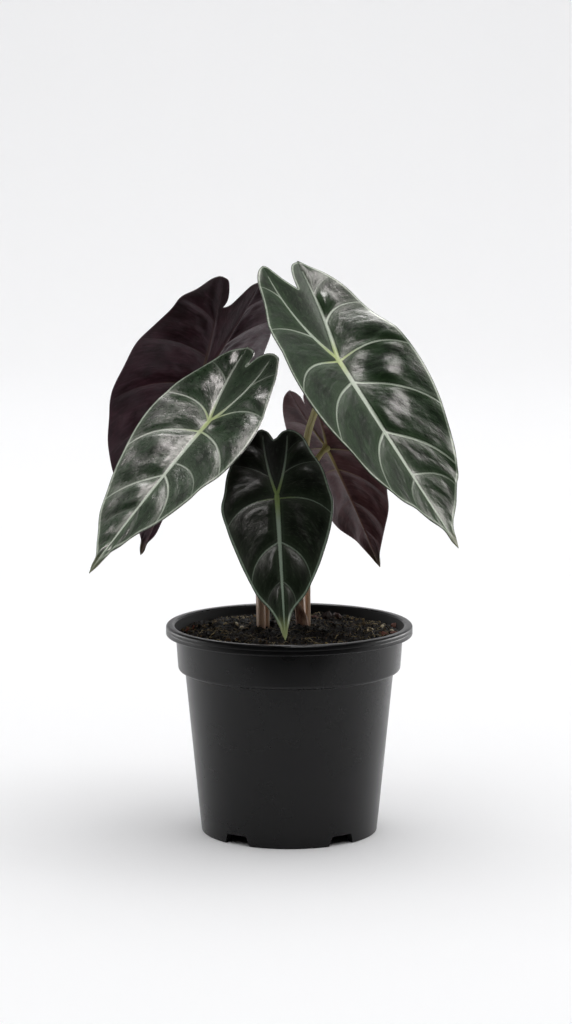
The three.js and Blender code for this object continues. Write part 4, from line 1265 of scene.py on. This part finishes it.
def pot_material():
    """Black satin plastic with a faint mould grain, scuffs and dried water, duller and darker on the
    wall above the soil, and duller with painted shade on the rim and in the hollow underside."""
    s = Shader("black_plastic")
    place = s.place()
    grain = s.noise(place, 2600.0, 2.0, 0.55)
    cloud = s.noise(place, 38.0, 4.0, 0.6)
    streak = s.noise(s.scaled(place, (260, 260, 18)), 1.0, 3.0, 0.6)
    scuff = s.between(s.noise(s.scaled(place, (90, 90, 420)), 1.0, 4.0, 0.7), 0.66, 0.8)
    colour = s.mix(s.between(cloud, 0.35, 0.7), tone(6, 6, 7), tone(11, 10, 12))
    colour = s.mix(s.between(streak, 0.55, 0.8, 0.0, 0.2), colour, tone(26, 25, 27))
    colour = s.mix(s.times(scuff, 0.05), colour, tone(56, 54, 54))
    rough = s.math("ADD", s.between(cloud, 0.3, 0.7, 0.25, 0.33), s.times(scuff, 0.06))
    out, height = s.from_axis(), s.parts(place)[2]

    def past(value, size, start, end):
        """0 to 1 from start to end, in millimetres past a size of the pot."""
        return s.between(value, (size + start) * MM, (size + end) * MM)

    def before(value, size, start, end):
        """1 to 0 over the same stretch."""
        return s.between(value, (size + start) * MM, (size + end) * MM, 1.0, 0.0)

    inside = s.times(before(out, RIM_RADIUS - RIM_WIDTH, -0.1, 0.3),
                     past(height, SOIL_EDGE_HEIGHT, -0.1, 0.2))
    rough = s.math("MAXIMUM", rough, s.times(inside, 0.85))
    colour = s.mix(inside, colour, tone(9, 8, 8))
    # painted shade: the rim is tinted near-black, where it would mirror the dark room
    rim = s.times(past(out, BAND_TOP_RADIUS, 1.3, 1.9), past(height, POT_HEIGHT - RIM_HEIGHT, 0.2, 2))
    rough = s.math("ADD", rough, s.times(rim, 0.06))
    colour = s.mix(rim, colour, tone(4, 4, 5))
    # painted shade: the hollow underside, seen through the notches, is tinted black
    hollow = s.times(before(out, BASE_RADIUS, -0.9, -0.4), before(height, SKIRT_HEIGHT, -1.5, -0.5))
    rough = s.math("MAXIMUM", rough, s.times(hollow, 0.95))
    colour = s.mix(hollow, colour, tone(3, 3, 3))
    return s.finished(colour=colour, roughness=rough, specular=0.29, normal=s.bump(grain, 0.00003, 0.3))


def painted_centre_shade(s, colour, amount, shade_tone):
    """The colour, darker round the middle of the pot: painted shade under the leaves."""
    near = s.between(s.from_axis(*SHADE_CENTRE), *SHADE_REACH, amount, 0.0)
    return s.mix(near, colour, shade_tone)


def peat_material():
    """Dark crumbly peat with browner patches."""
    s = Shader("peat_soil")
    place = s.place()
    crumb = s.noise(place, 900.0, 4.0, 0.7)
    patch = s.noise(place, 120.0, 3.0, 0.6)
    colour = s.mix(s.between(crumb, 0.35, 0.8), tone(6, 5, 4), tone(28, 23, 15))
    colour = s.mix(s.between(patch, 0.5, 0.75, 0.0, 0.5), colour, tone(46, 34, 22))
    # painted shade round the middle, under the leaves
    colour = painted_centre_shade(s, colour, 0.8, tone(5, 4, 4))
    return s.finished(colour=colour, roughness=s.between(crumb, 0.3, 0.7, 0.62, 0.9), specular=0.32,
                      normal=s.bump(crumb, 0.0006, 0.9))


def tinted_material(name, stops, roughness, centre_shade=0.72):
    """A material for scattered bits: each bit's own tint picks its place between the stops."""
    s = Shader(name)
    tint = s.attribute("tint")
    colour = tone(*stops[0][1])
    for (low, _), (high, levels) in zip(stops, stops[1:]):
        colour = s.mix(s.between(tint, low, high), colour, tone(*levels))
    speck = s.noise(s.place(), 1400.0, 3.0, 0.65)
    colour = s.mix(s.between(speck, 0.5, 0.8, 0.0, 0.45), colour, tone(20, 15, 12))
    # painted shade round the middle, under the leaves
    colour = painted_centre_shade(s, colour, centre_shade, tone(6, 5, 5))
    return s.finished(colour=colour, roughness=roughness, specular=0.3, normal=s.bump(speck, 0.0003, 0.8))


# Tones that leaf faces share: of the veins, of the veins at the node and, above, of the tip
GREEN_VEINS = [(196, 208, 188), (182, 198, 126), (104, 108, 76)]
SHADED_FRONT_VEINS = [(150, 168, 148), (124, 146, 80), (146, 156, 104)]
PURPLE_RIBS = [(96, 66, 60), (112, 98, 62)]
LIT_PURPLE_RIBS = [(128, 98, 80), (166, 158, 88)]

# Tints of the bits on the soil, from 0 to 1, with their tones
CRUMB_TINTS = [(0.0, (7, 7, 5)), (0.5, (24, 20, 13)), (0.8, (58, 47, 29)), (1.0, (126, 106, 66))]
CHIP_TINTS = [(0.0, (44, 28, 18)), (0.5, (88, 66, 40)), (0.8, (136, 112, 74)), (1.0, (200, 182, 140))]
LOOSE_TINTS = [(0.0, (26, 17, 12)), (0.3, (92, 44, 24)), (0.75, (120, 96, 64)), (1.0, (226, 214, 184))]
FIBRE_TINTS = [(0.0, (30, 26, 16)), (0.5, (84, 72, 46)), (1.0, (176, 158, 116))]


# Studio


def make_stage():
    """A pale table that sweeps up behind the plant. Its near part shows only to cameras, so that the
    front of the pot mirrors a dark room."""
    sweep = [(TABLE_FRONT, 0.0)]
    for i in range(SWEEP_STEPS + 1):
        angle = math.pi / 2 * i / SWEEP_STEPS
        sweep.append((SWEEP_START + SWEEP_RADIUS * math.sin(angle), SWEEP_RADIUS * (1 - math.cos(angle))))
    sweep.append((SWEEP_START + SWEEP_RADIUS, WALL_TOP))
    paper = Shader("paper").finished(colour=(0.92, 0.92, 0.93, 1.0), roughness=0.9, specular=0.1)
    sheets = []
    for name, line in (("backdrop", sweep), ("near_table", [(-TABLE_HALF, 0.0), sweep[0]])):
        points = [(x / MM, y / MM, z / MM) for y, z in line for x in (-TABLE_HALF, TABLE_HALF)]
        faces = [(2 * i, 2 * i + 1, 2 * i + 3, 2 * i + 2) for i in range(len(line) - 1)]
        sheets.append(new_object(name, points, faces, [paper]))
    near = sheets[-1]
    near.visible_glossy = near.visible_diffuse = near.visible_shadow = False


LIGHTS = [  # name, place, what it points at, size, power, whether surfaces and their gloss show it
    ("back_softbox", (0, 1.25, 2.3), (0, 0, 0.2), (1.1, 1.1), 46, False, True),
    ("top_softbox", (0.42, -0.35, 2.35), (0, 0, 0.2), (1.05, 1.05), 40, False, True),
    ("side_light", (0.9, -0.25, 2.0), (0, 0, 0.1), (1.2, 1.2), 4.5, True, False),
    ("left_panel", (-2.0, 0.9, 0.34), (0, 0, 0.1), (1.8, 0.64), 21, False, True),
    ("right_panel", (2.0, 0.9, 0.34), (0, 0, 0.1), (1.8, 0.64), 37, False, True),
    ("ceiling", (0, -0.1, 2.6), (0, -0.1, 0), (6, 6), 153, True, False),
    ("wall_wash", (0, 1.4, 2.5), (0, 3.4, 0.9), (4, 1), 16, True, False),
]


def make_lights():
    """Softboxes whose gloss shows on the leaves and on the pot's sides, and even light for the room."""
    for name, place, target, size, power, diffuse, glossy in LIGHTS:
        data = bpy.data.lights.new(name, "AREA")
        data.shape = "RECTANGLE"
        data.size, data.size_y = size
        data.energy = power
        light = bpy.data.objects.new(name, data)
        light.location = place
        light.rotation_euler = (Vector(target) - Vector(place)).to_track_quat("-Z", "Y").to_euler()
        light.visible_camera = False
        light.visible_diffuse = diffuse
        light.visible_glossy = glossy
        bpy.context.scene.collection.objects.link(light)


def make_world():
    """A room that is pale behind the plant, and dark in front of it and overhead."""
    world = bpy.data.worlds.new("studio")
    n = Nodes(world)
    _, behind, up = n.parts(n.place("Generated"))
    strength = n.times(n.between(behind, -0.3, 0.35, 0.04, 1.0, "LINEAR"),
                       n.between(up, 0.15, 0.5, 1.0, 0.2, "LINEAR"))
    room, paper, choice = n.new("Background"), n.new("Background"), n.new("MixShader")
    for socket, value in ((room.inputs["Strength"], strength),
                          (paper.inputs["Color"], (0.93, 0.93, 0.94, 1.0)),
                          (choice.inputs[0], n.new("LightPath").outputs["Is Camera Ray"]),
                          (choice.inputs[1], room.outputs[0]), (choice.inputs[2], paper.outputs[0]),
                          (n.new("OutputWorld").inputs["Surface"], choice.outputs[0])):
        n.feed(socket, value)
    bpy.context.scene.world = world


def make_camera():
    data = bpy.data.cameras.new("camera")
    data.lens = LENS
    data.sensor_width = 36
    data.clip_end = 50
    camera = bpy.data.objects.new("camera", data)
    camera.location = CAMERA_PLACE
    camera.rotation_euler = (math.radians(90 - CAMERA_FALL), 0, 0)
    bpy.context.scene.collection.objects.link(camera)
    bpy.context.scene.camera = camera


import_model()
rng = np.random.default_rng(11)

green = upper_face("green", [(16, 29, 16), (35, 57, 33), (84, 110, 76)] + GREEN_VEINS, 0.8, 0.0, 0.5, 1.0)
# a darker copy of the green face for the inner sides of the lobes: its darker tones are painted shade
# between the basal veins
green_shaded_lobe = upper_face("crease", [(14, 26, 14), (31, 51, 29), (84, 110, 76)] + GREEN_VEINS,
                          0.8, 0.06, 0.16, 1.0)
# a lighter copy of the green face for the left front leaf: its paler tones add painted sheen to the leaf's
# own green
silver = upper_face("silver", [(18, 31, 18), (40, 61, 39), (106, 128, 100),
                               (206, 216, 198), (186, 202, 132), (112, 116, 84)], 0.8, -0.02, 0.88, 1.25)
# a darker copy of the green face for the front leaf, which faces the dark room: its darker tones and veins
# are painted shade
dark = upper_face("dark", [(9, 14, 8), (24, 34, 21), (72, 86, 67)] + SHADED_FRONT_VEINS, 0.5, -0.03, 0.2, 1.6)
# painted shade: a darker copy of the front leaf's face for the inner sides of its lobes
dark_shaded_lobe = upper_face("dark_shaded_lobe", [(8, 12, 7), (15, 22, 13), (60, 73, 57)] + SHADED_FRONT_VEINS,
                         0.5, 0.1, 0.08, 1.0)
purple = under_face("purple", [(36, 18, 22), (60, 32, 40), (98, 65, 79)] + PURPLE_RIBS, 0.5)
# a lighter copy of the purple underside for the right back leaf, whose underside faces the light: its
# lighter tones are painted light
lit_purple = under_face("lit_purple", [(62, 39, 38), (92, 60, 62), (134, 102, 104)] + LIT_PURPLE_RIBS, 0.6)
FACES = {
    "right_front": (green, purple, green_shaded_lobe, "blade_green"),
    "left_front": (silver, purple, silver, "blade_green"),
    "front": (dark, purple, dark_shaded_lobe, "blade_dark"),
    "left_back": (green, purple, green_shaded_lobe, "blade_purple"),
    "right_back": (green, lit_purple, green_shaded_lobe, "blade_purple"),
}
stalk = stalk_material()

for seed, leaf in enumerate(LEAVES, 1):
    *blade_materials, slot_name = FACES[leaf["name"]]
    blade = make_blade(leaf, seed * 31, blade_materials)
    belongs(blade, slot_name, f"blade_{leaf['name']}")
    belongs(make_petiole(leaf, seed, stalk), "petiole", f"petiole_{leaf['name']}")
belongs(make_old_sheath(sheath_material()), "petiole")

belongs(make_pot(pot_material()), "pot_plastic", "pot")
belongs(make_soil(peat_material()), "soil", "soil")

belongs(scattered("peat_crumbs", rng, disc_places(rng, CRUMBS, CRUMB_REACH),
                  rng.lognormal(-0.95, 0.5, CRUMBS).clip(0.2, 1.8), rng.uniform(0.5, 0.95, CRUMBS),
                  tinted_material("peat_crumb", CRUMB_TINTS, 0.85),
                  rng.uniform(0, 1, CRUMBS) ** 1.3), "soil")
belongs(scattered("bark_chips", rng, disc_places(rng, CHIPS, CHIP_REACH),
                  rng.uniform(0.5, 1.6, CHIPS), rng.uniform(0.16, 0.34, CHIPS),
                  tinted_material("bark_chip", CHIP_TINTS, 0.7),
                  rng.uniform(0, 1, CHIPS), rough=0.2), "soil")
bits = np.array(PLACED_BITS)
belongs(scattered("placed_bits", rng, bits[:, :2], bits[:, 2], bits[:, 3],
                  # the placed bits take little of the painted shade under the leaves
                  tinted_material("loose_bit", LOOSE_TINTS, 0.75, centre_shade=0.1),
                  bits[:, 4], rough=0.25), "soil")
belongs(make_fibres(rng, tinted_material("peat_fibre", FIBRE_TINTS, 0.7)), "soil")

make_stage()
make_lights()
make_world()
make_camera()
bpy.context.scene.view_settings.view_transform = "Standard"
